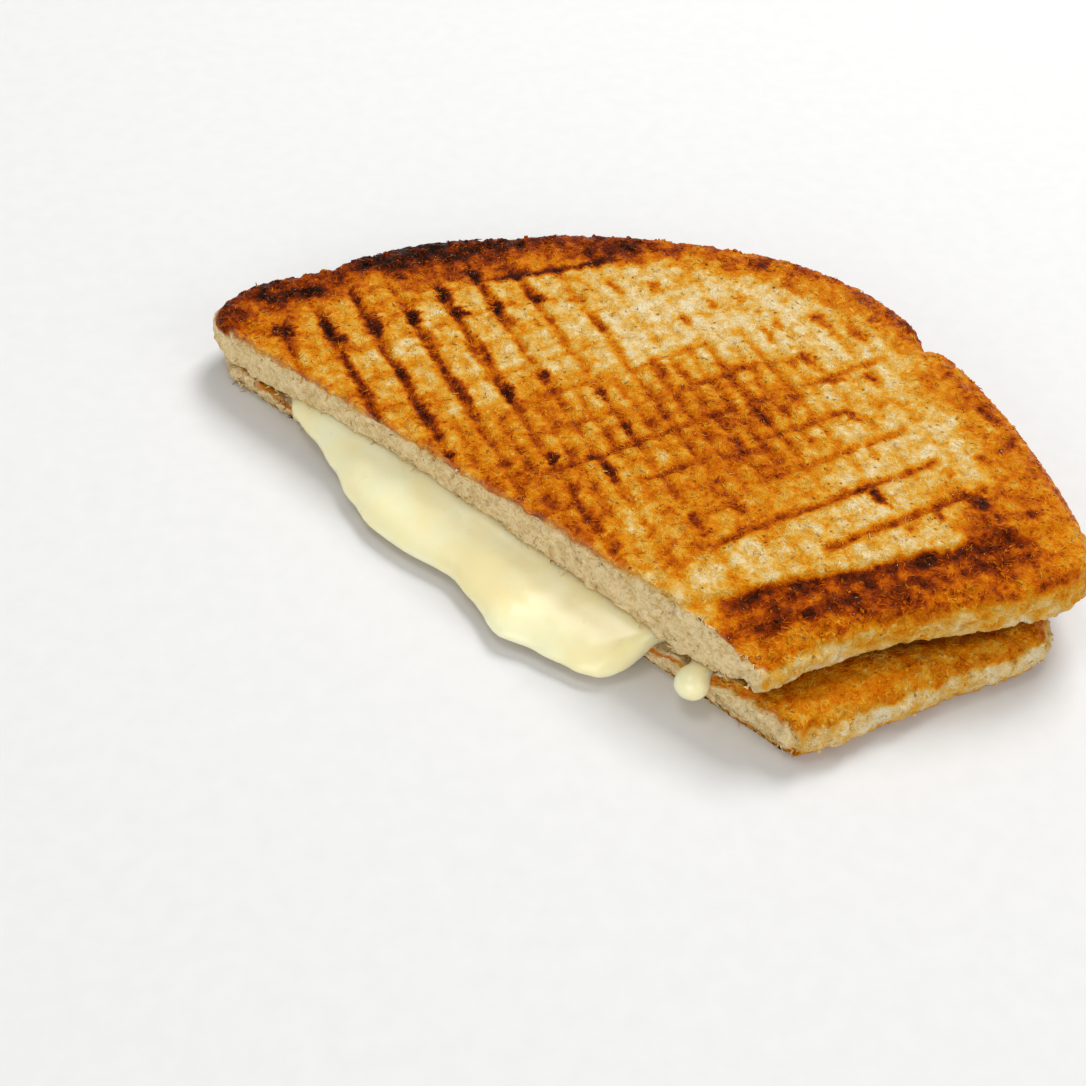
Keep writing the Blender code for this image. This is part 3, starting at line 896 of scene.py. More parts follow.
@dataclass(frozen=True)
class ToastedBread:
    """White sandwich bread, toasted in an oiled ribbed press and cut with a knife.

    The Maillard browning gives a run from cream through gold and orange brown to char, with
    paler threads where the toasted surface frays; these threads are also lightened as painted
    highlights along the strands. Oil left on it gives a soft sheen, most on the dark marks.
    Where the knife or a tear opened it the crumb is cream and matt.
    """

    name: str = "toasted_white_bread"
    browning_run: Stops = (
        (0.00, "#DECDA6"), (0.09, "#DCC38F"), (0.19, "#D5AE62"), (0.29, "#D1992E"),
        (0.39, "#CE800A"), (0.49, "#C46800"), (0.59, "#AB4D00"), (0.69, "#862F00"),
        (0.80, "#581900"), (0.91, "#2C0900"), (1.00, "#0C0200"),
    )
    crumb_run: Stops = ((0.30, "#CFAE70"), (0.52, "#EBD4A2"))
    # Colour of the painted shade inside the pores
    pore_shade_colour: str = "#7E4A1C"
    sheen_colour: str = "#FFD79C"
    # Browned blotches of 2 to 3 mm, crumb flecks under 1 mm and pin-prick pores 2 mm apart.
    # Pulled gluten is finer than a tenth of a millimetre, and is drawn coarse enough to show.
    bend_mm: float = 1.5
    bend_reach_mm: float = 0.8
    blotch_mm: float = 2.4
    fleck_mm: float = 0.8
    strand_mm: float = 1.1
    strand_width: float = 0.10
    thread_mm: float = 0.9
    thread_width: float = 0.07
    thread_where: Pair = (0.48, 0.56)
    pore_mm: float = 1.9
    pore_edge: Pair = (0.07, 0.14)
    pore_left_out: float = 0.45
    oil_mm: float = 1.2
    oil_where: Pair = (0.5, 0.78)
    dry_roughness: float = 0.6
    oily_roughness: float = 0.22
    bump_mm: float = 0.38
    ior: float = 1.45
    specular_level: float = 0.1

    def build(self) -> Material:
        """Return the bread's material, driven by the slice's own attributes."""
        material, tree, place = start_material(self.name)
        browned, opened, painted_pore_shade = (
            add_node(tree, "ShaderNodeAttribute", {"attribute_name": name}).outputs["Fac"]
            for name in ("browning", "crumb", "painted_pore_shade")
        )
        bent = self.bent(tree, place)
        blotches, flecks, oil = (
            add_node(
                tree, "ShaderNodeTexNoise",
                values={"Scale": pattern_scale(size), "Detail": detail, "Roughness": roughness},
                links={"Vector": where},
            ).outputs["Fac"]
            for size, detail, roughness, where in (
                (self.blotch_mm, 2.0, 0.5, place),
                (self.fleck_mm, 4.0, 0.72, bent),
                (self.oil_mm, 2.0, 0.5, bent),
            )
        )
        strands = self.strands(tree, bent, self.strand_mm, self.strand_width)
        threads = self.strands(tree, bent, self.thread_mm, self.thread_width)
        pores = self.pores(tree, bent)
        toast = self.toast(tree, browned, (flecks, blotches, strands, threads))
        texture = weighted_sum(tree, ((flecks, 0.9), (blotches, 0.4), (threads, 0.08)), -0.2)
        crumb = add_node(tree, "ShaderNodeValToRGB", links={"Fac": texture}, stops=self.crumb_run)
        skin = add_node(
            tree, "ShaderNodeMix", {"data_type": "RGBA"}, links={0: opened, 6: toast, 7: crumb},
        )
        # Painted shade in the pores, mixed in as a darker colour: toasting closes the pores, and
        # on open crumb they are shallow, so they show less of it
        pore_shade_weight = weighted_sum(tree, ((opened, -0.5), (browned, -0.7)), 0.85)
        pore_shade_depth = add_node(
            tree, "ShaderNodeMath", {"operation": "MULTIPLY_ADD"},
            links={0: pores, 1: pore_shade_weight, 2: painted_pore_shade},
        )
        shaded = add_node(
            tree, "ShaderNodeMix",
            {"data_type": "RGBA", "blend_type": "MULTIPLY", "clamp_factor": True},
            values={7: linear_colour(self.pore_shade_colour)}, links={0: pore_shade_depth, 6: skin.outputs[2]},
        )
        height = weighted_sum(
            tree, ((flecks, 1.0), (strands, 0.22), (threads, 0.16), (pores, -0.5)), 0.0
        )
        bump = add_node(
            tree, "ShaderNodeBump", values={"Strength": 1.0, "Distance": self.bump_mm * MM},
            links={"Height": height},
        )
        set_node(
            tree.nodes["Principled BSDF"],
            values={
                "IOR": self.ior, "Specular IOR Level": self.specular_level,
                "Specular Tint": linear_colour(self.sheen_colour),
            },
            links={
                "Base Color": shaded.outputs[2],
                "Roughness": self.gloss(tree, browned, opened, oil), "Normal": bump,
            },
        )
        return material

    def bent(self, tree: NodeTree, place: NodeSocket) -> NodeSocket:
        """Push positions about a little, so that no pattern runs straight.

        Args:
            tree: The material's nodes.
            place: Socket of the position.

        Returns:
            Socket of the pushed position.
        """
        bend = add_node(
            tree, "ShaderNodeTexNoise",
            values={"Scale": pattern_scale(self.bend_mm), "Detail": 1.0}, links={"Vector": place},
        )
        pushed = add_node(
            tree, "ShaderNodeVectorMath", {"operation": "MULTIPLY_ADD"},
            values={1: (self.bend_reach_mm * MM,) * 3}, links={0: bend.outputs["Color"], 2: place},
        )
        return pushed.outputs[0]

    def pores(self, tree: NodeTree, place: NodeSocket) -> NodeSocket:
        """Add the pin-prick pores of the crumb, which dent the bump and darken the colour as
        painted shade.

        Args:
            tree: The material's nodes.
            place: Socket of the position.

        Returns:
            Socket that is 1 in a pore and 0 beside it.
        """
        cells = add_node(
            tree, "ShaderNodeTexVoronoi", values={"Scale": pattern_scale(self.pore_mm)},
            links={"Vector": place},
        )
        inner, outer = self.pore_edge
        pricked = add_node(
            tree, "ShaderNodeMapRange",
            values={"From Min": inner, "From Max": outer, "To Min": 1.0, "To Max": 0.0},
            links={"Value": cells.outputs["Distance"]},
        )
        some = add_node(
            tree, "ShaderNodeMath", {"operation": "GREATER_THAN"}, values={1: self.pore_left_out},
            links={0: cells.outputs["Color"]},
        )
        picked = add_node(
            tree, "ShaderNodeMath", {"operation": "MULTIPLY"}, links={0: pricked, 1: some},
        )
        return picked.outputs[0]

    def toast(self, tree: NodeTree, browned: NodeSocket, patterns: tuple) -> NodeSocket:
        """Add the colour of the toasted surface.

        Args:
            tree: The material's nodes.
            browned: Socket of the browning, 0 to 1.
            patterns: Sockets of the flecks, blotches, strands and threads.

        Returns:
            Socket of the colour.
        """
        flecks, blotches, strands, threads = patterns
        # Paler frayed threads: partly paler pulled crumb, partly painted highlights along the
        # strands
        first, last = self.thread_where
        loose = add_node(
            tree, "ShaderNodeMapRange", values={"From Min": first, "From Max": last},
            links={"Value": flecks},
        )
        frayed = add_node(
            tree, "ShaderNodeMath", {"operation": "MULTIPLY"}, links={0: threads, 1: loose},
        )
        pale_threads_and_glints = (frayed.outputs[0], -0.24)
        spots = ((flecks, 0.64), (blotches, 0.62), (strands, -0.04))
        parts = (*spots, pale_threads_and_glints, (browned, 1.0))
        toast = add_node(
            tree, "ShaderNodeValToRGB", links={"Fac": weighted_sum(tree, parts, -0.615)},
            stops=self.browning_run,
        )
        return toast.outputs["Color"]

    def gloss(
        self, tree: NodeTree, browned: NodeSocket, opened: NodeSocket, oil: NodeSocket,
    ) -> NodeSocket:
        """Add the roughness: low where oil stays on browned toast, full on open crumb.

        Args:
            tree: The material's nodes.
            browned: Socket of the browning, 0 to 1.
            opened: Socket that is 1 where the crumb lies open.
            oil: Socket of the oil's pattern.

        Returns:
            Socket of the roughness.
        """
        first, last = self.oil_where
        sheen = add_node(
            tree, "ShaderNodeMapRange",
            values={
                "From Min": first, "From Max": last, "To Min": self.dry_roughness,
                "To Max": self.oily_roughness,
            },
            links={"Value": weighted_sum(tree, ((oil, 1.0), (browned, 0.2)), 0.0)},
        )
        dry = add_node(
            tree, "ShaderNodeMath", {"operation": "MAXIMUM"}, links={0: sheen, 1: opened},
        )
        return dry.outputs[0]

    def strands(
        self, tree: NodeTree, place: NodeSocket, size_mm: float, width: float
    ) -> NodeSocket:
        """Add thin curly strands, like pulled crumb.

        Args:
            tree: The material's nodes.
            place: Socket of the position.
            size_mm: Spacing of the strands in millimetres.
            width: Width of a strand as a share of its spacing.

        Returns:
            Socket that is 1 on a strand and 0 beside it.
        """
        waves = add_node(
            tree, "ShaderNodeTexNoise", values={"Scale": pattern_scale(size_mm), "Detail": 0.0},
            links={"Vector": place},
        )
        level = add_node(
            tree, "ShaderNodeMath", {"operation": "SUBTRACT"}, values={1: 0.5}, links={0: waves},
        )
        gap = add_node(tree, "ShaderNodeMath", {"operation": "ABSOLUTE"}, links={0: level})
        line = add_node(
            tree, "ShaderNodeMapRange", values={"From Max": width, "To Min": 1.0, "To Max": 0.0},
            links={"Value": gap},
        )
        return line.outputs["Result"]


@dataclass(frozen=True)
class OilBead:
    """Cooking oil left on the toast: clear, thin and very smooth, over the browned crust.

    It takes the colour of the toast below it and gives small sharp glints.
    """

    name: str = "cooking_oil_on_toast"
    seen_through: Stops = ((0.0, "#DDA848"), (0.45, "#B86A08"), (0.7, "#6E2600"), (1.0, "#120300"))
    sheen_colour: str = "#FFEBC8"
    mottle_mm: float = 0.5
    mottle_share: float = 0.2
    roughness: float = 0.06
    ior: float = 1.47

    def build(self) -> Material:
        """Return the oil's material."""
        material, tree, place = start_material(self.name)
        browned = add_node(tree, "ShaderNodeAttribute", {"attribute_name": "browning"})
        mottle = add_node(
            tree, "ShaderNodeTexNoise",
            values={"Scale": pattern_scale(self.mottle_mm), "Detail": 2.0},
            links={"Vector": place},
        )
        depth = add_node(
            tree, "ShaderNodeMath", {"operation": "MULTIPLY_ADD"}, values={1: self.mottle_share},
            links={0: mottle, 2: browned.outputs["Fac"]},
        )
        colour = add_node(
            tree, "ShaderNodeValToRGB", links={"Fac": depth}, stops=self.seen_through
        )
        set_node(
            tree.nodes["Principled BSDF"],
            values={
                "Roughness": self.roughness, "IOR": self.ior,
                "Specular Tint": linear_colour(self.sheen_colour),
            },
            links={"Base Color": colour},
        )
        return material


@dataclass(frozen=True)
class MeltedCheese:
    """Mild white cheese, melted and set to a soft glossy skin.

    Fat on the skin gives broad soft highlights, and light passes into it, so its shadows
    stay warm and yellow.
    """

    name: str = "melted_mild_cheese"
    clouds: Stops = ((0.36, "#FFE8B2"), (0.6, "#FFF1C8"))
    # Creamier clouds about 9 mm wide, under soft ripples a few millimetres apart
    cloud_mm: float = 9.0
    ripple_mm: float = 3.0
    ripple_height_mm: float = 0.10
    ripple_strength: float = 0.5
    smoothest: float = 0.21
    roughest: float = 0.39
    ior: float = 1.45
    fat_film: float = 0.6
    film_roughness: float = 0.14
    translucence: float = 0.85
    depth_mm: float = 3.0
    depth_of_colours: Triple = (1.0, 0.85, 0.5)

    def build(self) -> Material:
        """Return the cheese's material."""
        material, tree, place = start_material(self.name)
        clouds, ripples = (
            add_node(
                tree, "ShaderNodeTexNoise", values={"Scale": pattern_scale(size), "Detail": 3.0},
                links={"Vector": place},
            ).outputs["Fac"]
            for size in (self.cloud_mm, self.ripple_mm)
        )
        colour = add_node(tree, "ShaderNodeValToRGB", links={"Fac": clouds}, stops=self.clouds)
        sheen = add_node(
            tree, "ShaderNodeMapRange", values={"To Min": self.smoothest, "To Max": self.roughest},
            links={"Value": ripples},
        )
        bump = add_node(
            tree, "ShaderNodeBump",
            values={"Strength": self.ripple_strength, "Distance": self.ripple_height_mm * MM},
            links={"Height": ripples},
        )
        set_node(
            tree.nodes["Principled BSDF"],
            values={
                "IOR": self.ior, "Coat Weight": self.fat_film,
                "Coat Roughness": self.film_roughness, "Subsurface Weight": self.translucence,
                "Subsurface Radius": self.depth_of_colours, "Subsurface Scale": self.depth_mm * MM,
            },
            links={"Base Color": colour, "Roughness": sheen, "Normal": bump},
        )
        return material


@dataclass(frozen=True)
class MattPaper:
    """Heavy white paper sweep: matt, with a fibre grain too faint to show as pattern."""

    name: str = "matt_white_paper"
    fibres: Stops = ((0.3, "#D8D8D7"), (0.7, "#DBDBDA"))
    # Paper fibres are far finer, and drawn 3 mm wide so that the faint grain shows at all
    fibre_mm: float = 3.0
    roughness: float = 0.85

    def build(self) -> Material:
        """Return the paper's material."""
        material, tree, place = start_material(self.name)
        fibres = add_node(
            tree, "ShaderNodeTexNoise",
            values={"Scale": pattern_scale(self.fibre_mm), "Detail": 4.0}, links={"Vector": place},
        )
        colour = add_node(tree, "ShaderNodeValToRGB", links={"Fac": fibres}, stops=self.fibres)
        set_node(
            tree.nodes["Principled BSDF"], values={"Roughness": self.roughness},
            links={"Base Color": colour},
        )
        return material


@dataclass(frozen=True)
class Placement:
    """Turns plan millimetres into the frame's metres."""

    shift_x: float
    shift_y: float

    @classmethod
    def from_frame(cls) -> "Placement":
        """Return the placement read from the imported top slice's box."""
        low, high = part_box("top_slice")
        outline = TOP_PLAN.outline()
        middle = (outline.min(axis=0) + outline.max(axis=0)) / 2
        return cls(
            (low[0] + high[0]) / 2 / MM - middle[0],
            (low[1] + high[1]) / 2 / MM - middle[1],
        )

    def to_metres(self, points: Array) -> Array:
        """Return points in the frame, in metres."""
        return (points + (self.shift_x, self.shift_y, 0.0)) * MM


def read_points(mesh: Mesh) -> Array:
    """Return a mesh's vertices, one row each."""
    points = np.empty(len(mesh.vertices) * 3)
    mesh.vertices.foreach_get("co", points)
    return points.reshape(-1, 3)


def read_normals(mesh: Mesh) -> Array:
    """Return a mesh's vertex normals, one row each."""
    normals = np.empty(len(mesh.vertices) * 3)
    mesh.vertex_normals.foreach_get("vector", normals)
    return normals.reshape(-1, 3)


def write_points(mesh: Mesh, points: Array) -> None:
    """Move a mesh's vertices."""
    mesh.vertices.foreach_set("co", points.ravel())
    mesh.update()


def paint(mesh: Mesh, name: str, values: Array) -> None:
    """Store one value at each vertex under a name that materials read."""
    layer = mesh.attributes.new(name, "FLOAT", "POINT")
    layer.data.foreach_set("value", np.clip(values, 0.0, 1.0))


def join_loops(form: BMesh, loops: list[list[BMVert]]) -> None:
    """Join each closed loop to the next one with faces."""
    for near, far in zip(loops, loops[1:]):
        for index in range(len(near)):
            after = (index + 1) % len(near)
            form.faces.new((near[index], near[after], far[after], far[index]))


def remeshed(source: BMesh, name: str, voxel: float) -> Mesh:
    """Return an even mesh over a closed form.

    Args:
        source: Closed form in millimetres; it is freed.
        name: Name of the mesh.
        voxel: Spacing of the even mesh in millimetres.

    Returns:
        The even mesh, in millimetres.
    """
    rough = bpy.data.meshes.new(name + "_rough")
    bmesh.ops.recalc_face_normals(source, faces=source.faces)
    source.to_mesh(rough)
    source.free()
    holder = add_object(name + "_rough", rough)
    even = holder.modifiers.new("even", "REMESH")
    even.mode = "VOXEL"
    even.voxel_size = voxel
    even.use_smooth_shade = True
    graph = bpy.context.evaluated_depsgraph_get()
    result = bpy.data.meshes.new_from_object(holder.evaluated_get(graph))
    result.name = name
    bpy.data.objects.remove(holder, do_unlink=True)
    bpy.data.meshes.remove(rough)
    return result


def smooth_mesh(mesh: Mesh, rounds: int, strength: float = 0.5) -> None:
    """Relax a mesh's vertices towards their neighbours.

    Args:
        mesh: Mesh to relax in place.
        rounds: How many times.
        strength: Share of the way that each vertex moves.
    """
    edges = np.empty(len(mesh.edges) * 2, dtype=int)
    mesh.edges.foreach_get("vertices", edges)
    edges = edges.reshape(-1, 2)
    points = read_points(mesh)
    count = np.bincount(edges.ravel(), minlength=len(points))[:, None]
    for _ in range(rounds):
        total = np.zeros_like(points)
        for axis in range(3):
            total[:, axis] = np.bincount(
                edges[:, 0], weights=points[edges[:, 1], axis], minlength=len(points)
            ) + np.bincount(edges[:, 1], weights=points[edges[:, 0], axis], minlength=len(points))
        points += (total / np.maximum(count, 1) - points) * strength
    write_points(mesh, points)


def finish_piece(
    mesh: Mesh, name: str, material: Material, nodes: tuple[str, ...] = (),
) -> Object:
    """Turn a finished mesh into a piece of the object.

    Args:
        mesh: Mesh in the frame, in metres.
        name: Name of the piece.
        material: What it is made of.
        nodes: CAD nodes that the piece stands for.

    Returns:
        The piece.
    """
    mesh.materials.clear()
    mesh.materials.append(material)
    mesh.name = name
    mesh.shade_smooth()
    piece = add_object(name, mesh)
    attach(piece, BODY)
    if nodes:
        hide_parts(*nodes)
    LOG.info("%s: %d faces", name, len(mesh.polygons))
    return piece


@dataclass(frozen=True)
class SliceMasks:
    """Where each vertex of a slice lies: masks from 0 to 1, but for the crust.

    Attributes:
        cut: On the cut face.
        upper: On the upper face.
        under: On the lower face.
        crust: Distance to the crust in millimetres.
        share: Height in the slice, from its lower face to its upper one.
        left: On the torn side beside the tip.
    """

    cut: Array
    upper: Array
    under: Array
    crust: Array
    share: Array
    left: Array


@dataclass
class BreadSlice:
    """A pressed slice, lofted from its plan, made even, then draped and roughened."""

    name: str
    node: str
    plan: SlicePlan
    rings: tuple[Pair, ...]
    seed: int
    voxel: float = 0.42
    slab: float = 8.0
    smoothing: int = 2
    crumb_bump: float = 0.14
    crumb_size: float = 1.5
    bubble_size: float = 1.3
    bubble_share: float = 0.7
    rim_lumps: float = 0.30
    rim_lump_size: float = 2.2
    rim_width: float = 7.0
    rim_fade: float = 4.0
    wobble: Grain = Grain(0.36, 3.4, 31.0)
    tear: Grain = Grain(0.42, 1.9, 61.0)
    hem: Grain = Grain(0.42, 2.3, 83.0)
    hem_share: float = 0.16
    fray: Grain = Grain(0.62, 2.6, 53.0)
    crumb_squash: float = 1.7
    pits: Pits = Pits(2.3, 0.6, 0.55, 11.0)
    pit_depth: float = 0.45
    undercut: float = 0.0
    undercut_share: float = 0.3
    # Pores whose painted shade is stored on the mesh
    pores: Pits = Pits(2.3, 0.34, 0.62)
    pore_shade: float = 0.8
    pore_closing: float = 0.6
    torn_side: float = -38.5

    def __post_init__(self) -> None:
        """Give the slice its own noise."""
        self.noise = CrumbNoise(self.seed)

    def loft(self) -> BMesh:
        """Return a pad of even thickness from the plan and the ring profile."""
        pad = bmesh.new()
        outline = self.plan.outline()
        loops = []
        for scale, share in self.rings:
            ring = CUT.middle + (outline - CUT.middle) * scale
            loops.append([pad.verts.new((*point, share * self.slab)) for point in ring])
        join_loops(pad, loops)
        pad.faces.new(list(reversed(loops[0])))
        pad.faces.new(loops[-1])
        return pad

    def floor(self, x: Array, y: Array) -> Array:
        """Return the height of the slice's lower face."""
        raise NotImplementedError

    def ceiling(self, points: Array) -> Array:
        """Return the height of the slice's upper face."""
        raise NotImplementedError

    def dress(self, mesh: Mesh, pad: Array, masks: SliceMasks) -> None:
        """Paint the slice's browning, crumb and the painted shade in its pores, and where bits lie
        on it.
        """
        raise NotImplementedError

    def masks(self, pad: Array, normals: Array) -> SliceMasks:
        """Return how much each vertex belongs to the cut, the crust and the faces.

        Args:
            pad: Vertices of the even pad.
            normals: Their normals.

        Returns:
            The slice's masks.
        """
        outward = normals[:, :2] @ CUT.outward
        _, reach = CUT.coordinates(pad[:, 0], pad[:, 1])
        beside_tip = smooth_step((self.torn_side - pad[:, 0]) / 2)
        return SliceMasks(
            cut=smooth_step((reach + 0.9) / 0.6) * smooth_step((outward + 0.1) / 0.5),
            upper=smooth_step((normals[:, 2] - 0.25) / 0.5),
            under=smooth_step((-normals[:, 2] - 0.25) / 0.5),
            crust=self.plan.crust_distance(pad[:, 0], pad[:, 1]),
            share=np.clip(pad[:, 2] / self.slab, 0.0, 1.0),
            left=smooth_step((-normals[:, 0] - 0.2) / 0.4) * beside_tip,
        )

    def roughened(self, points: Array, normals: Array, masks: SliceMasks) -> Array:
        """Return the draped points with crumb, wobbles and a frayed cut.

        Args:
            points: Draped vertices.
            normals: Their normals.
            masks: What each belongs to.

        Returns:
            Moved vertices.
        """
        noise = self.noise
        side = (1 - masks.upper) * (1 - masks.under)
        on_rim = smooth_step((self.rim_width - masks.crust) / self.rim_fade)
        crumb = noise.layered(points, self.crumb_size)
        crumb = crumb + self.bubble_share * noise.bubbles(points + 7.0, self.bubble_size)
        lumps = self.rim_lumps * on_rim * noise.bubbles(points + 19.0, self.rim_lump_size)
        crumb = self.crumb_bump * crumb + lumps
        edge = (self.wobble.over(noise, points) + self.tear.over(noise, points)) * side
        edge = edge * (1 - masks.cut) + self.folds(points) * side
        squashed = points * (1.0, 1.0, self.crumb_squash)
        pits = self.pit_depth * self.pits.over(noise, squashed)
        tucked = self.undercut * hump(masks.share, 0.0, self.undercut_share)
        frayed = masks.cut * (self.fray.over(noise, squashed) - pits - tucked)
        moved = points + normals * (crumb + edge)[:, None]
        moved[:, :2] += frayed[:, None] * CUT.outward
        hem = hump(masks.share, 0.0, self.hem_share) * side
        moved[:, 2] += hem * self.hem.over(noise, points)
        return moved

    def folds(self, points: Array) -> Array:
        """Return how far the sides swell out where the slice is folded."""
        return np.zeros(len(points))

    def paint_bread(self, mesh: Mesh, pad: Array, browning: Array, crumb: Array) -> None:
        """Paint what the bread's material reads, with painted shade in the pores; toasted pores
        show less of it.

        Args:
            mesh: The slice.
            pad: Where its pores are read.
            browning: How brown each vertex is.
            crumb: How far the crumb lies open at it.
        """
        shade = self.pore_shade - self.pore_closing * np.clip(browning, 0, 1)
        paint(mesh, "browning", browning)
        paint(mesh, "crumb", crumb)
        paint(mesh, "painted_pore_shade", self.pores.over(self.noise, pad) * shade)

    def build(self, material: Material, placement: Placement) -> Object:
        """Build the slice.

        Args:
            material: The bread.
            placement: Where the plan lies in the frame.

        Returns:
            The slice as a piece.
        """
        mesh = remeshed(self.loft(), self.name, self.voxel)
        smooth_mesh(mesh, self.smoothing)
        pad, normals = read_points(mesh), read_normals(mesh)
        masks = self.masks(pad, normals)
        points = pad.copy()
        low = self.floor(pad[:, 0], pad[:, 1])
        points[:, 2] = low * (1 - masks.share) + self.ceiling(pad) * masks.share
        write_points(mesh, points)
        points = self.roughened(points, read_normals(mesh), masks)
        points[:, 2] = np.maximum(points[:, 2], 0.0)
        self.dress(mesh, pad, masks)
        write_points(mesh, placement.to_metres(points))
        return finish_piece(mesh, self.name, material, (self.node,))


@dataclass
class TopSlice(BreadSlice):
    """The upper slice, with the press marks on its face."""

    name: str = "upper_toast"
    node: str = "top_slice"
    plan: SlicePlan = TOP_PLAN
    rings: tuple[Pair, ...] = (
        (0.962, 0.0), (0.978, 0.02), (0.99, 0.07), (0.997, 0.17), (1.0, 0.3), (0.998, 0.47),
        (0.993, 0.64), (0.984, 0.77), (0.972, 0.88), (0.957, 0.96), (0.938, 1.0),
    )
    seed: int = 23
    groove_depth: float = 0.42
    rim_groove_share: float = 0.25
    puff: float = 0.22
    soft_waves: Grain = Grain(0.18, 4.5, 3.0)
    band_depth: float = 0.9
    band_slope: float = 1.0
    band_clear: float = 0.2
    front_depth: float = 3.0
    front_browning: float = 0.18
    front_lip_browning: float = 0.17
    front_crumb: float = 0.2
    side_specks: Grain = Grain(0.17, 2.8)
    side_paling: float = 0.05
    lip_edge: Grain = Grain(0.05, 1.6)
    lip_toasted: float = 0.9
    hem_edge: Grain = Grain(0.7, 3.6, 4.0)
    pore_squash: float = 0.6
    least_fray: float = 0.12
    least_loose: float = 0.08
    oil_power: float = 1.5

    def floor(self, x: Array, y: Array) -> Array:
        """Return the height of the underside."""
        return SHAPE.underside(x, y)

    def ceiling(self, points: Array) -> Array:
        """Return the height of the marked face.

        Args:
            points: Vertices of the even pad.

        Returns:
            Heights in millimetres above the table.
        """
        x, y = points[:, 0], points[:, 1]
        _, _, pressed = PRESS.marks(points)
        band = smooth_step((PRESS.band_top + self.band_clear - y) / self.band_slope)
        inner = smooth_step((self.plan.crust_distance(x, y) - 3.0) / 3.0) * (1 - band)
        groove = self.rim_groove_share + (1 - self.rim_groove_share) * inner
        relief = self.groove_depth * pressed * groove * (1 - band)
        puffed = self.puff * (1 - pressed) * inner
        soft = self.soft_waves.over(self.noise, points * (1, 1, 0))
        smooth = SHAPE.face(x, y)
        face = smooth - relief + puffed + soft - self.band_depth * band
        upper = smooth_step((points[:, 2] / self.slab - 0.9) / 0.1)
        return np.where(upper > 0, face * upper + smooth * (1 - upper), smooth)

    def dress(self, mesh: Mesh, pad: Array, masks: SliceMasks) -> None:
        """Paint the press marks, the crust and the cut crumb, and where bits lie.

        Args:
            mesh: The slice.
            pad: Vertices of the even pad.
            masks: What each belongs to.
        """
        noise, share = self.noise, masks.share
        rim = blend_patches(BROWNED_PATCHES, pad[:, 0], pad[:, 1])
        front = smooth_step((self.front_depth - pad[:, 1]) / self.front_depth)
        front_side = self.front_browning + self.front_lip_browning * share
        side = rim * (1 - front) + front * front_side
        side = side + self.side_specks.over(noise, pad) - self.side_paling * (1 - share)
        facing = smooth_step((share - 0.72) / 0.2)
        browning = PRESS.browning(pad * (1, 1, 0)) * facing + side * (1 - facing)
        opened = masks.cut * smooth_step((masks.crust - 0.3) / 1.2)
        browned_lip = smooth_step((share - 0.86 + self.lip_edge.over(noise, pad)) / 0.1)
        ragged_hem = smooth_step((0.16 - share + self.hem_edge.over(noise, pad)) / 0.2)
        crumb = np.maximum.reduce(
            (
                opened * (1 - self.lip_toasted * browned_lip),
                masks.under * smooth_step((masks.crust - 6.0) / 4.0),
                masks.left * smooth_step((0.8 - share) / 0.12),
                self.front_crumb * front * ragged_hem * (1 - masks.upper),
            )
        )
        self.paint_bread(mesh, pad * (1, 1, self.pore_squash), browning, crumb)
        edges = hump(share, 0.0, 0.16) + hump(share, 0.9, 0.1)
        paint(mesh, "fray", masks.cut * (self.least_fray + (1 - self.least_fray) * edges))
        on_rim = smooth_step((9.0 - masks.crust) / 6.0) * (1 - opened)
        sparse = 1 - 0.6 * smooth_step((pad[:, 0] - 25.0) / 20.0)
        loose = self.least_loose + (1 - self.least_loose) * on_rim
        browned = np.clip(browning, 0, 1)
        paint(mesh, "loose", facing * loose * sparse * (1 - opened))
        paint(mesh, "curl", facing * browned * (1 - opened))
        paint(mesh, "oil", facing * browned**self.oil_power * (1 - opened))


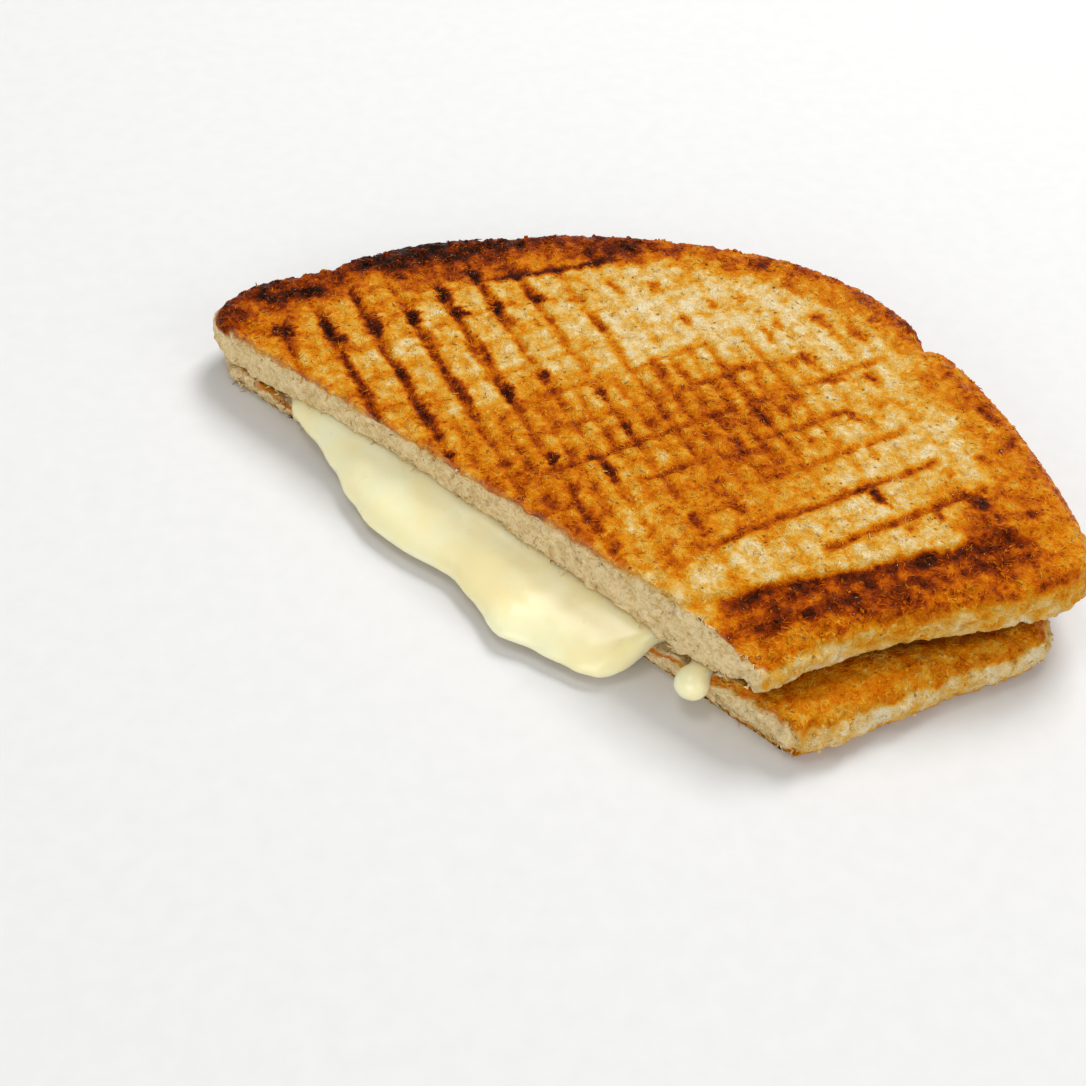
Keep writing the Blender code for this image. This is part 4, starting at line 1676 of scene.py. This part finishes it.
@dataclass
class BottomSlice(BreadSlice):
    """The lower slice, which stands out beyond the upper one at the front."""

    name: str = "lower_toast"
    node: str = "bottom_slice"
    plan: SlicePlan = BOTTOM_PLAN
    rings: tuple[Pair, ...] = (
        (0.955, 0.0), (0.974, 0.04), (0.99, 0.13), (0.998, 0.25), (1.0, 0.38), (0.998, 0.52),
        (0.992, 0.64), (0.985, 0.76), (0.975, 0.86), (0.96, 0.94), (0.938, 1.0),
    )
    seed: int = 37
    slab: float = 4.0
    voxel: float = 0.40
    undercut: float = 0.9
    fray: Grain = Grain(0.8, 2.6, 53.0)
    front_depth: float = 2.0
    swells: tuple[Triple, ...] = (
        (21.0, 4.0, 0.5), (27.6, 1.2, -0.7), (31.5, 2.0, 0.4), (38.0, 1.8, -0.35),
    )
    rim_paling: float = 0.03
    side_blotches: Grain = Grain(0.12, 4.2)
    side_specks: Grain = Grain(0.05, 1.0, 5.0)
    hem_browning: float = 0.25
    hem_height: float = 0.16
    under_browning: float = 0.34
    under_blotches: Grain = Grain(0.14, 5.0)
    under_mark_browning: float = 0.3
    under_halo_browning: float = 0.1
    lip_edge: Grain = Grain(0.08, 2.0)
    lip_start: float = 95.0
    seam_edge: Grain = Grain(0.16, 1.8)
    seam_height: float = 0.68
    seam_browning: float = 0.44
    front_seam_start: float = 76.0
    tip_seam_end: float = 15.0
    least_fray: float = 0.15

    def floor(self, x: Array, y: Array) -> Array:
        """Return the height of the face on the table."""
        return np.zeros(len(x))

    def ceiling(self, points: Array) -> Array:
        """Return the height of the face under the cheese."""
        return SHAPE.lower_face(points[:, 0], points[:, 1])

    def folds(self, points: Array) -> Array:
        """Return the swells of the front crust, which folded as it was pressed."""
        front = smooth_step((self.front_depth - points[:, 1]) / self.front_depth)
        return front * sum(
            height * hump(points[:, 0], x, width) for x, width, height in self.swells
        )

    def browning(self, pad: Array, masks: SliceMasks) -> Array:
        """Return how brown the crust and the toasted underside are.

        Args:
            pad: Vertices of the even pad.
            masks: What each belongs to.

        Returns:
            Browning from 0 pale to 1 charred.
        """
        noise = self.noise
        side = blend_patches(LOWER_RIM_PATCHES, pad[:, 0], pad[:, 1]) - self.rim_paling
        side = side + self.side_blotches.over(noise, pad) + self.side_specks.over(noise, pad)
        hem = smooth_step((self.hem_height - masks.share) / self.hem_height)
        side = side + self.hem_browning * hem
        covered, golden, _ = PRESS.marks(pad * (1, 1, 0))
        under = self.under_browning + self.under_blotches.over(noise, pad)
        under = under + self.under_mark_browning * covered + self.under_halo_browning * golden
        return side * (1 - masks.under) + under * masks.under

    def dress(self, mesh: Mesh, pad: Array, masks: SliceMasks) -> None:
        """Paint the crust, the toasted underside and the cut crumb, and where bits lie.

        Args:
            mesh: The slice.
            pad: Vertices of the even pad.
            masks: What each belongs to.
        """
        noise, share = self.noise, masks.share
        run, _ = CUT.coordinates(pad[:, 0], pad[:, 1])
        inner = masks.upper * smooth_step((masks.crust - 9.0) / 4.0)
        opened = masks.cut * smooth_step((masks.crust - 0.3) / 1.2)
        scorched_lip = smooth_step((0.16 - share + self.lip_edge.over(noise, pad)) / 0.1)
        scorched_lip *= smooth_step((run - self.lip_start) / 3.0)
        seam = smooth_step((share - self.seam_height + self.seam_edge.over(noise, pad)) / 0.1)
        seam *= np.maximum(
            smooth_step((run - self.front_seam_start) / 3.0),
            smooth_step((self.tip_seam_end - run) / 3.0),
        )
        browning = self.browning(pad, masks) * (1 - seam) + self.seam_browning * seam
        crumb = np.maximum(opened * (1 - np.maximum(scorched_lip, seam)), inner)
        crumb = crumb * (1 - masks.under)
        crumb = np.maximum(crumb, masks.left * smooth_step((share - 0.15) / 0.1))
        self.paint_bread(mesh, pad, browning, crumb)
        edges = hump(share, 0.0, 0.25) + hump(share, 1.0, 0.2)
        paint(mesh, "fray", masks.cut * (self.least_fray + (1 - self.least_fray) * edges))
        paint(mesh, "loose", (1 - masks.under) * smooth_step((4.0 - masks.crust) / 3.0))


@dataclass
class CheeseLayer:
    """The layer of melted cheese, its tongue out of the cut and the squeezed-out drop."""

    name: str = "cheese_layer"
    node: str = "cheese"
    start: float = 7.0
    end: float = 90.0
    stations: int = 90
    crust_margin: float = 11.0
    end_depth: float = 6.0
    end_taper: float = 3.0
    insets: tuple[float, ...] = (1.5, 4.5, 9.0, 15.0, 21.0, 27.0, 33.0, 39.0, 45.0)
    hang: float = 0.8
    hang_share: float = 0.2
    full_reach: float = 5.0
    lip: float = 1.3
    lip_gap: float = 0.4
    lip_start: float = 9.5
    lip_start_fade: float = 6.0
    lip_end: float = 82.0
    lip_end_fade: float = 2.0
    recess: float = 2.6
    recess_back: float = 0.4
    recess_gap: float = 0.1
    touch: float = 0.08
    step_separation: float = 0.02
    reach_points: tuple[Pair, ...] = (
        (8.0, 0.0), (15.0, 0.5), (20.5, 1.5), (26.0, 3.2), (32.0, 5.9), (38.0, 7.6), (44.0, 7.6),
        (52.0, 6.6), (57.0, 7.8), (63.5, 10.0), (69.0, 8.6), (75.0, 7.6), (78.0, 6.4),
        (79.8, 3.2), (80.6, 0.0),
    )
    section: tuple[Pair, ...] = (
        (0.3, 0.0), (0.6, 0.0), (0.82, 0.02), (0.94, 0.09), (1.0, 0.2), (0.97, 0.31),
        (0.89, 0.43), (0.77, 0.55), (0.63, 0.67), (0.47, 0.78), (0.31, 0.87), (0.15, 0.95),
    )
    drop_run: float = 88.3
    drop_out: float = 1.5
    drop_height: float = 4.6
    drop_radius: float = 2.5
    neck_half: float = 2.4
    voxel: float = 0.45
    smoothing: int = 14
    seed: int = 5
    broad_swell: Grain = Grain(0.30, 5.0, 0.0, 2)
    fine_swell: Grain = Grain(0.03, 2.5, 0.0, 1)
    swell_stretch: float = 0.35
    swell_fade: float = 1.5
    clear_of_table: float = 0.3

    def crust_depth(self, run: float) -> float:
        """Return how far the top slice reaches inwards from the cut at a run along it."""
        line = TOP_PLAN.crust_line()
        runs, reaches = CUT.coordinates(line[:, 0], line[:, 1])
        near = np.abs(runs - run) < 1.0
        return float(-reaches[near].min()) if near.any() else 0.0

    def tongue_reach(self, run: float) -> float:
        """Return how far the tongue bulges out of the cut at a run along it."""
        for (start, low), (end, high) in zip(self.reach_points, self.reach_points[1:]):
            if start <= run < end:
                return low + (high - low) * float(smooth_step((run - start) / (end - start)))
        return 0.0

    def lip_share(self, run: float) -> float:
        """Return how far the layer comes out to the cut at a run along it, 0 to 1."""
        tongue = smooth_step((run - self.lip_start) / self.lip_start_fade)
        tongue = tongue * smooth_step((self.lip_end - run) / self.lip_end_fade)
        return max(float(tongue), float(hump(run, self.drop_run, self.neck_half)))

    def depths(self, run: float, back: float) -> list[float]:
        """Return how far in the section's inner points lie, from the deepest outwards.

        Args:
            run: Where the section lies along the cut.
            back: Least depth, where the layer stays inside the cut.

        Returns:
            Depths in millimetres, kept a little apart.
        """
        clear = self.end_depth + self.end_taper * (self.end - run)
        depth = max(self.end_depth, min(self.crust_depth(run) - self.crust_margin, clear))
        apart = self.step_separation
        return [
            max(min(inset, depth - step * apart), back + (len(self.insets) - step) * apart)
            for step, inset in enumerate(reversed(self.insets))
        ]

    def loop(self, run: float) -> list[Pair]:
        """Return the closed section of the layer.

        Args:
            run: Where the section lies along the cut.

        Returns:
            Its points, as reach out and height.
        """
        open_here = self.lip_share(run)
        shut_here = 1 - open_here
        insets = self.depths(run, (self.recess + self.recess_back) * shut_here)
        spots = np.array([CUT.point(run, -inset) for inset in [*insets, 0.0]])
        lower = SHAPE.lower_face(spots[:, 0], spots[:, 1]) + self.touch
        upper = SHAPE.underside(spots[:, 0], spots[:, 1]) - self.touch
        reach = self.tongue_reach(run)
        low, high = float(lower[-1]), float(upper[-1])
        hang = low - (low - self.hang) * float(smooth_step(reach / self.full_reach))
        reach += self.lip * open_here - self.recess * shut_here
        gap = SHAPE.touch_gap * self.lip_gap * open_here
        gap = gap - (self.recess + self.recess_gap) * shut_here
        section = [(-inset, height) for inset, height in zip(insets, lower)]
        section += [(gap, low), (gap, hang + (low - hang) * self.hang_share)]
        section += [
            (gap + (reach - gap) * out, hang + (high - hang) * rise) for out, rise in self.section
        ]
        section.append((gap, high))
        section += [(-inset, height) for inset, height in reversed(list(zip(insets, upper)))]
        return section

    def loft(self) -> BMesh:
        """Return the closed form of the layer, with the drop beside it."""
        form = bmesh.new()
        loops = []
        for run in np.linspace(self.start, self.end, self.stations):
            section = self.loop(float(run))
            loops.append([form.verts.new((*CUT.point(run, out), z)) for out, z in section])
        join_loops(form, loops)
        form.faces.new(loops[0])
        form.faces.new(loops[-1])
        bmesh.ops.recalc_face_normals(form, faces=form.faces)
        drop = bmesh.ops.create_icosphere(form, subdivisions=3, radius=self.drop_radius)
        place = CUT.point(self.drop_run, self.drop_out)
        for vert in drop["verts"]:
            vert.co += Vector((*place, self.drop_height))
        return form

    def build(self, material: Material, placement: Placement) -> Object:
        """Build the cheese.

        Args:
            material: The cheese.
            placement: Where the plan lies in the frame.

        Returns:
            The cheese as a piece.
        """
        mesh = remeshed(self.loft(), self.name, self.voxel)
        smooth_mesh(mesh, self.smoothing)
        points, normals = read_points(mesh), read_normals(mesh)
        noise = CrumbNoise(self.seed)
        run, reach = CUT.coordinates(points[:, 0], points[:, 1])
        outside = smooth_step(reach / self.swell_fade)
        flow = np.column_stack((run * self.swell_stretch, reach, points[:, 2]))
        swell = self.broad_swell.over(noise, flow) + self.fine_swell.over(noise, points)
        points += normals * (swell * outside)[:, None]
        points[:, 2] = np.maximum(points[:, 2], self.clear_of_table)
        write_points(mesh, placement.to_metres(points))
        return finish_piece(mesh, self.name, material, (self.node,))


@dataclass(frozen=True)
class BitForm:
    """Form of a strewn bit.

    Attributes:
        strand: A thin strand, and otherwise a small ball.
        on_face: Follows the surface, and otherwise points any way.
        stretch: Least and most stretch each way.
        spin: Least and most turn on its spot, in radians.
        bend: How far it is bent, as a share of its size.
        toasting: Browning, as a share of the bread's below it.
    """

    strand: bool
    on_face: bool
    stretch: tuple[Triple, Triple]
    spin: tuple[Triple, Triple]
    bend: float
    toasting: float


CRUMBLY = ((0.45, 0.45, 0.4), (1.25, 1.25, 1.0))
FLATTENED = ((0.6, 0.35, 0.22), (1.5, 0.8, 0.34))
ANY_WAY_ROUND = ((0.0, 0.0, 0.0), (0.0, 0.0, math.tau))
LYING_FLAT = ((1.3, 0.0, 0.0), (1.6, 0.0, math.tau))
EVERY_WAY = ((0.0, 0.0, 0.0), (math.tau, math.tau, math.tau))


class Bit(Enum):
    """What a strewn bit is."""

    CRUMB = BitForm(False, False, CRUMBLY, ANY_WAY_ROUND, 1.6, 0.88)
    FIBRE = BitForm(True, False, CRUMBLY, ANY_WAY_ROUND, 1.2, 0.8)
    CURL = BitForm(True, True, CRUMBLY, LYING_FLAT, 0.5, 0.74)
    BEAD = BitForm(False, True, FLATTENED, ANY_WAY_ROUND, 0.3, 1.0)


@dataclass
class StrewnBits:
    """Small bits strewn over a slice by Geometry Nodes, then made one plain mesh."""

    name: str
    bit: Bit
    chance: str
    per_square_cm: float
    size_mm: float
    seed: int
    strand_sides: int = 4
    strand_foot: float = 0.11
    strand_tip: float = 0.03
    ball_sides: int = 7
    ball_rings: int = 4
    crook_size: float = 1.3
    clear_of_table_mm: float = 0.02

    def unit(self, tree: NodeTree, size: NodeSocket) -> NodeSocket:
        """Return one bit before it is turned and stretched.

        Args:
            tree: The bits' nodes.
            size: Socket of the bit's size in metres.

        Returns:
            Socket of the bit's mesh.
        """
        if not self.bit.value.strand:
            ball = add_node(
                tree, "GeometryNodeMeshUVSphere",
                values={"Segments": self.ball_sides, "Rings": self.ball_rings},
                links={"Radius": size},
            )
            return ball.outputs["Mesh"]
        times = {"operation": "MULTIPLY"}
        foot, tip = (
            add_node(tree, "ShaderNodeMath", times, {1: share}, {0: size}).outputs[0]
            for share in (self.strand_foot, self.strand_tip)
        )
        strand = add_node(
            tree, "GeometryNodeMeshCone",
            values={"Vertices": self.strand_sides, "Side Segments": self.strand_sides},
            links={"Depth": size, "Radius Bottom": foot, "Radius Top": tip},
        )
        return strand.outputs["Mesh"]

    def strewn(self, tree: NodeTree, start: Node) -> NodeSocket:
        """Strew the bits where the slice's own attribute says, turned and stretched.

        Args:
            tree: The bits' nodes.
            start: Node of the tree's inputs.

        Returns:
            Socket of the bits as plain meshes.
        """
        form, seed = self.bit.value, start.outputs["Seed"]
        chance = add_node(tree, "GeometryNodeInputNamedAttribute", values={"Name": self.chance})
        density = add_node(
            tree, "ShaderNodeMath", {"operation": "MULTIPLY"},
            links={0: start.outputs["Density"], 1: chance},
        )
        spots = add_node(
            tree, "GeometryNodeDistributePointsOnFaces",
            links={"Mesh": start.outputs["Slice"], "Density": density, "Seed": seed},
        )
        turn, stretch, spin = (
            add_node(
                tree, "FunctionNodeRandomValue", {"data_type": "FLOAT_VECTOR"},
                values=dict(enumerate(limits)), links={"Seed": seed},
            ).outputs[0]
            for limits in (EVERY_WAY, form.stretch, form.spin)
        )
        placed = add_node(
            tree, "GeometryNodeInstanceOnPoints",
            links={
                "Points": spots, "Instance": self.unit(tree, start.outputs["Size"]),
                "Rotation": spots.outputs["Rotation"] if form.on_face else turn, "Scale": stretch,
            },
        )
        spun = add_node(
            tree, "GeometryNodeRotateInstances", links={"Instances": placed, "Rotation": spin},
        )
        real = add_node(tree, "GeometryNodeRealizeInstances", links={"Geometry": spun})
        return real.outputs["Geometry"]

    def bent(self, tree: NodeTree, bits: NodeSocket) -> NodeSocket:
        """Bend the bits out of shape and keep them above the table.

        Args:
            tree: The bits' nodes.
            bits: Socket of the straight bits.

        Returns:
            Socket of the bent bits.
        """
        crooked = add_node(
            tree, "ShaderNodeTexNoise",
            values={"Scale": pattern_scale(self.size_mm * self.crook_size), "Detail": 1.0},
        )
        centred = add_node(
            tree, "ShaderNodeVectorMath", {"operation": "SUBTRACT"}, values={1: (0.5, 0.5, 0.5)},
            links={0: crooked.outputs["Color"]},
        )
        shift = add_node(
            tree, "ShaderNodeVectorMath", {"operation": "MULTIPLY"},
            values={1: (self.bit.value.bend * self.size_mm * MM,) * 3}, links={0: centred},
        )
        rough = add_node(
            tree, "GeometryNodeSetPosition", links={"Geometry": bits, "Offset": shift},
        )
        lowest = (-1.0, -1.0, self.clear_of_table_mm * MM)
        lifted = add_node(
            tree, "ShaderNodeVectorMath", {"operation": "MAXIMUM"}, values={1: lowest},
            links={0: add_node(tree, "GeometryNodeInputPosition")},
        )
        rested = add_node(
            tree, "GeometryNodeSetPosition", links={"Geometry": rough, "Position": lifted},
        )
        return rested.outputs["Geometry"]

    def toned(self, tree: NodeTree, bits: NodeSocket) -> NodeSocket:
        """Brown the bits a little less than the bread below them.

        Args:
            tree: The bits' nodes.
            bits: Socket of the bits.

        Returns:
            Socket of the browned bits.
        """
        browned = add_node(tree, "GeometryNodeInputNamedAttribute", values={"Name": "browning"})
        paler = add_node(
            tree, "ShaderNodeMath", {"operation": "MULTIPLY"}, values={1: self.bit.value.toasting},
            links={0: browned},
        )
        toned = add_node(
            tree, "GeometryNodeStoreNamedAttribute",
            values={"Name": "browning"}, links={"Geometry": bits, "Value": paler},
        )
        return toned.outputs["Geometry"]

    def tree(self, material: Material) -> tuple[NodeTree, dict[str, str]]:
        """Build the node tree that strews the bits.

        Args:
            material: What the bits are made of.

        Returns:
            The tree, and the identifiers of its inputs by name.
        """
        tree = bpy.data.node_groups.new(self.name + "_strewn", "GeometryNodeTree")
        tree.interface.new_socket("Slice", in_out="INPUT", socket_type="NodeSocketGeometry")
        tree.interface.new_socket("Bits", in_out="OUTPUT", socket_type="NodeSocketGeometry")
        inputs = {}
        for label, kind in (("Density", "Float"), ("Size", "Float"), ("Seed", "Int")):
            kind = "NodeSocket" + kind
            socket = tree.interface.new_socket(label, in_out="INPUT", socket_type=kind)
            inputs[label] = socket.identifier
        bits = self.strewn(tree, add_node(tree, "NodeGroupInput"))
        dressed = add_node(
            tree, "GeometryNodeSetMaterial", values={"Material": material},
            links={"Geometry": self.toned(tree, self.bent(tree, bits))},
        )
        add_node(tree, "NodeGroupOutput", links={"Bits": dressed})
        return tree, inputs

    def build(self, source: Object, material: Material) -> Object:
        """Strew the bits over a slice.

        Args:
            source: The slice, with an attribute that says where bits lie.
            material: What the bits are made of.

        Returns:
            The bits as a piece.
        """
        tree, inputs = self.tree(material)
        holder = add_object(self.name + "_holder", source.data)
        strewn = holder.modifiers.new("strewn", "NODES")
        strewn.node_group = tree
        strewn[inputs["Density"]] = self.per_square_cm / (10 * MM) ** 2
        strewn[inputs["Size"]] = self.size_mm * MM
        strewn[inputs["Seed"]] = self.seed
        graph = bpy.context.evaluated_depsgraph_get()
        mesh = bpy.data.meshes.new_from_object(holder.evaluated_get(graph))
        bpy.data.objects.remove(holder, do_unlink=True)
        return finish_piece(mesh, self.name, material)


@dataclass(frozen=True)
class Softbox:
    """A soft square light: where it hangs and its side, in metres, and its power."""

    name: str
    place: Triple
    side: float
    watts: float

    def hang(self) -> None:
        """Hang the light so that it faces the sandwich."""
        lamp = bpy.data.lights.new(self.name, "AREA")
        lamp.shape = "SQUARE"
        lamp.size = self.side
        lamp.energy = self.watts
        hung = add_object(self.name, lamp)
        hung.location = self.place
        hung.rotation_euler = (-Vector(self.place)).to_track_quat("-Z", "Y").to_euler()


@dataclass
class Studio:
    """Plain pale floor, soft light and the camera."""

    floor_half: float = 1.5
    softboxes: tuple[Softbox, ...] = (
        Softbox("key_softbox", (0.38, 0.42, 0.84), 0.42, 8.2),
        Softbox("front_fill", (0.60, -0.75, 0.48), 0.6, 2.6),
        Softbox("low_fill", (-0.62, -0.78, 0.32), 0.7, 3.6),
        Softbox("overhead_softbox", (-0.25, 0.05, 1.0), 0.35, 1.6),
    )
    sky_colour: tuple[float, float, float, float] = (1.0, 1.0, 1.0, 1.0)
    sky_strength: float = 0.37
    camera_at: Triple = (-0.0609, -0.1526, 0.1640)
    camera_turn: Triple = (42.83, -2.44, -15.2)
    lens: float = 53.04
    sensor_width: float = 36.0
    nearest: float = 0.01

    def floor(self) -> None:
        """Lay the floor under the sandwich."""
        mesh = bpy.data.meshes.new("floor")
        half = self.floor_half
        corners = [(-half, -half, 0), (half, -half, 0), (half, half, 0), (-half, half, 0)]
        mesh.from_pydata(corners, [], [(0, 1, 2, 3)])
        mesh.materials.append(MattPaper().build())
        add_object("floor", mesh)

    def sky(self) -> None:
        """Surround the sandwich with even white light."""
        sky = bpy.data.worlds.new("white_room")
        sky.use_nodes = True
        set_node(
            sky.node_tree.nodes["Background"],
            values={"Color": self.sky_colour, "Strength": self.sky_strength},
        )
        bpy.context.scene.world = sky

    def camera(self) -> None:
        """Set the camera."""
        lens = bpy.data.cameras.new("camera")
        lens.lens = self.lens
        lens.sensor_width = self.sensor_width
        lens.clip_start = self.nearest
        held = add_object("camera", lens)
        held.location = self.camera_at
        held.rotation_euler = Euler([math.radians(angle) for angle in self.camera_turn], "XYZ")
        bpy.context.scene.camera = held

    def build(self) -> None:
        """Build the floor, the lights, the sky and the camera."""
        self.floor()
        for softbox in self.softboxes:
            softbox.hang()
        self.sky()
        bpy.context.scene.view_settings.view_transform = "Standard"
        self.camera()


def main() -> None:
    """Build the sandwich's looks and the studio."""
    logging.basicConfig(level=logging.INFO, format="%(name)s %(message)s", force=True)
    placement = Placement.from_frame()
    LOG.info("%s", placement)
    bread = ToastedBread().build()
    upper = TopSlice().build(bread, placement)
    lower = BottomSlice().build(bread, placement)
    StrewnBits("upper_crumbs", Bit.CRUMB, "loose", 24.0, 0.34, 3).build(upper, bread)
    StrewnBits("lower_crumbs", Bit.CRUMB, "loose", 26.0, 0.34, 4).build(lower, bread)
    StrewnBits("upper_fibres", Bit.FIBRE, "fray", 120.0, 1.3, 5).build(upper, bread)
    StrewnBits("lower_fibres", Bit.FIBRE, "fray", 150.0, 1.5, 6).build(lower, bread)
    StrewnBits("upper_curls", Bit.CURL, "curl", 55.0, 1.2, 8).build(upper, bread)
    StrewnBits("oil_beads", Bit.BEAD, "oil", 40.0, 0.27, 7).build(upper, OilBead().build())
    CheeseLayer().build(MeltedCheese().build(), placement)
    Studio().build()


if __name__ == "__main__":
    main()
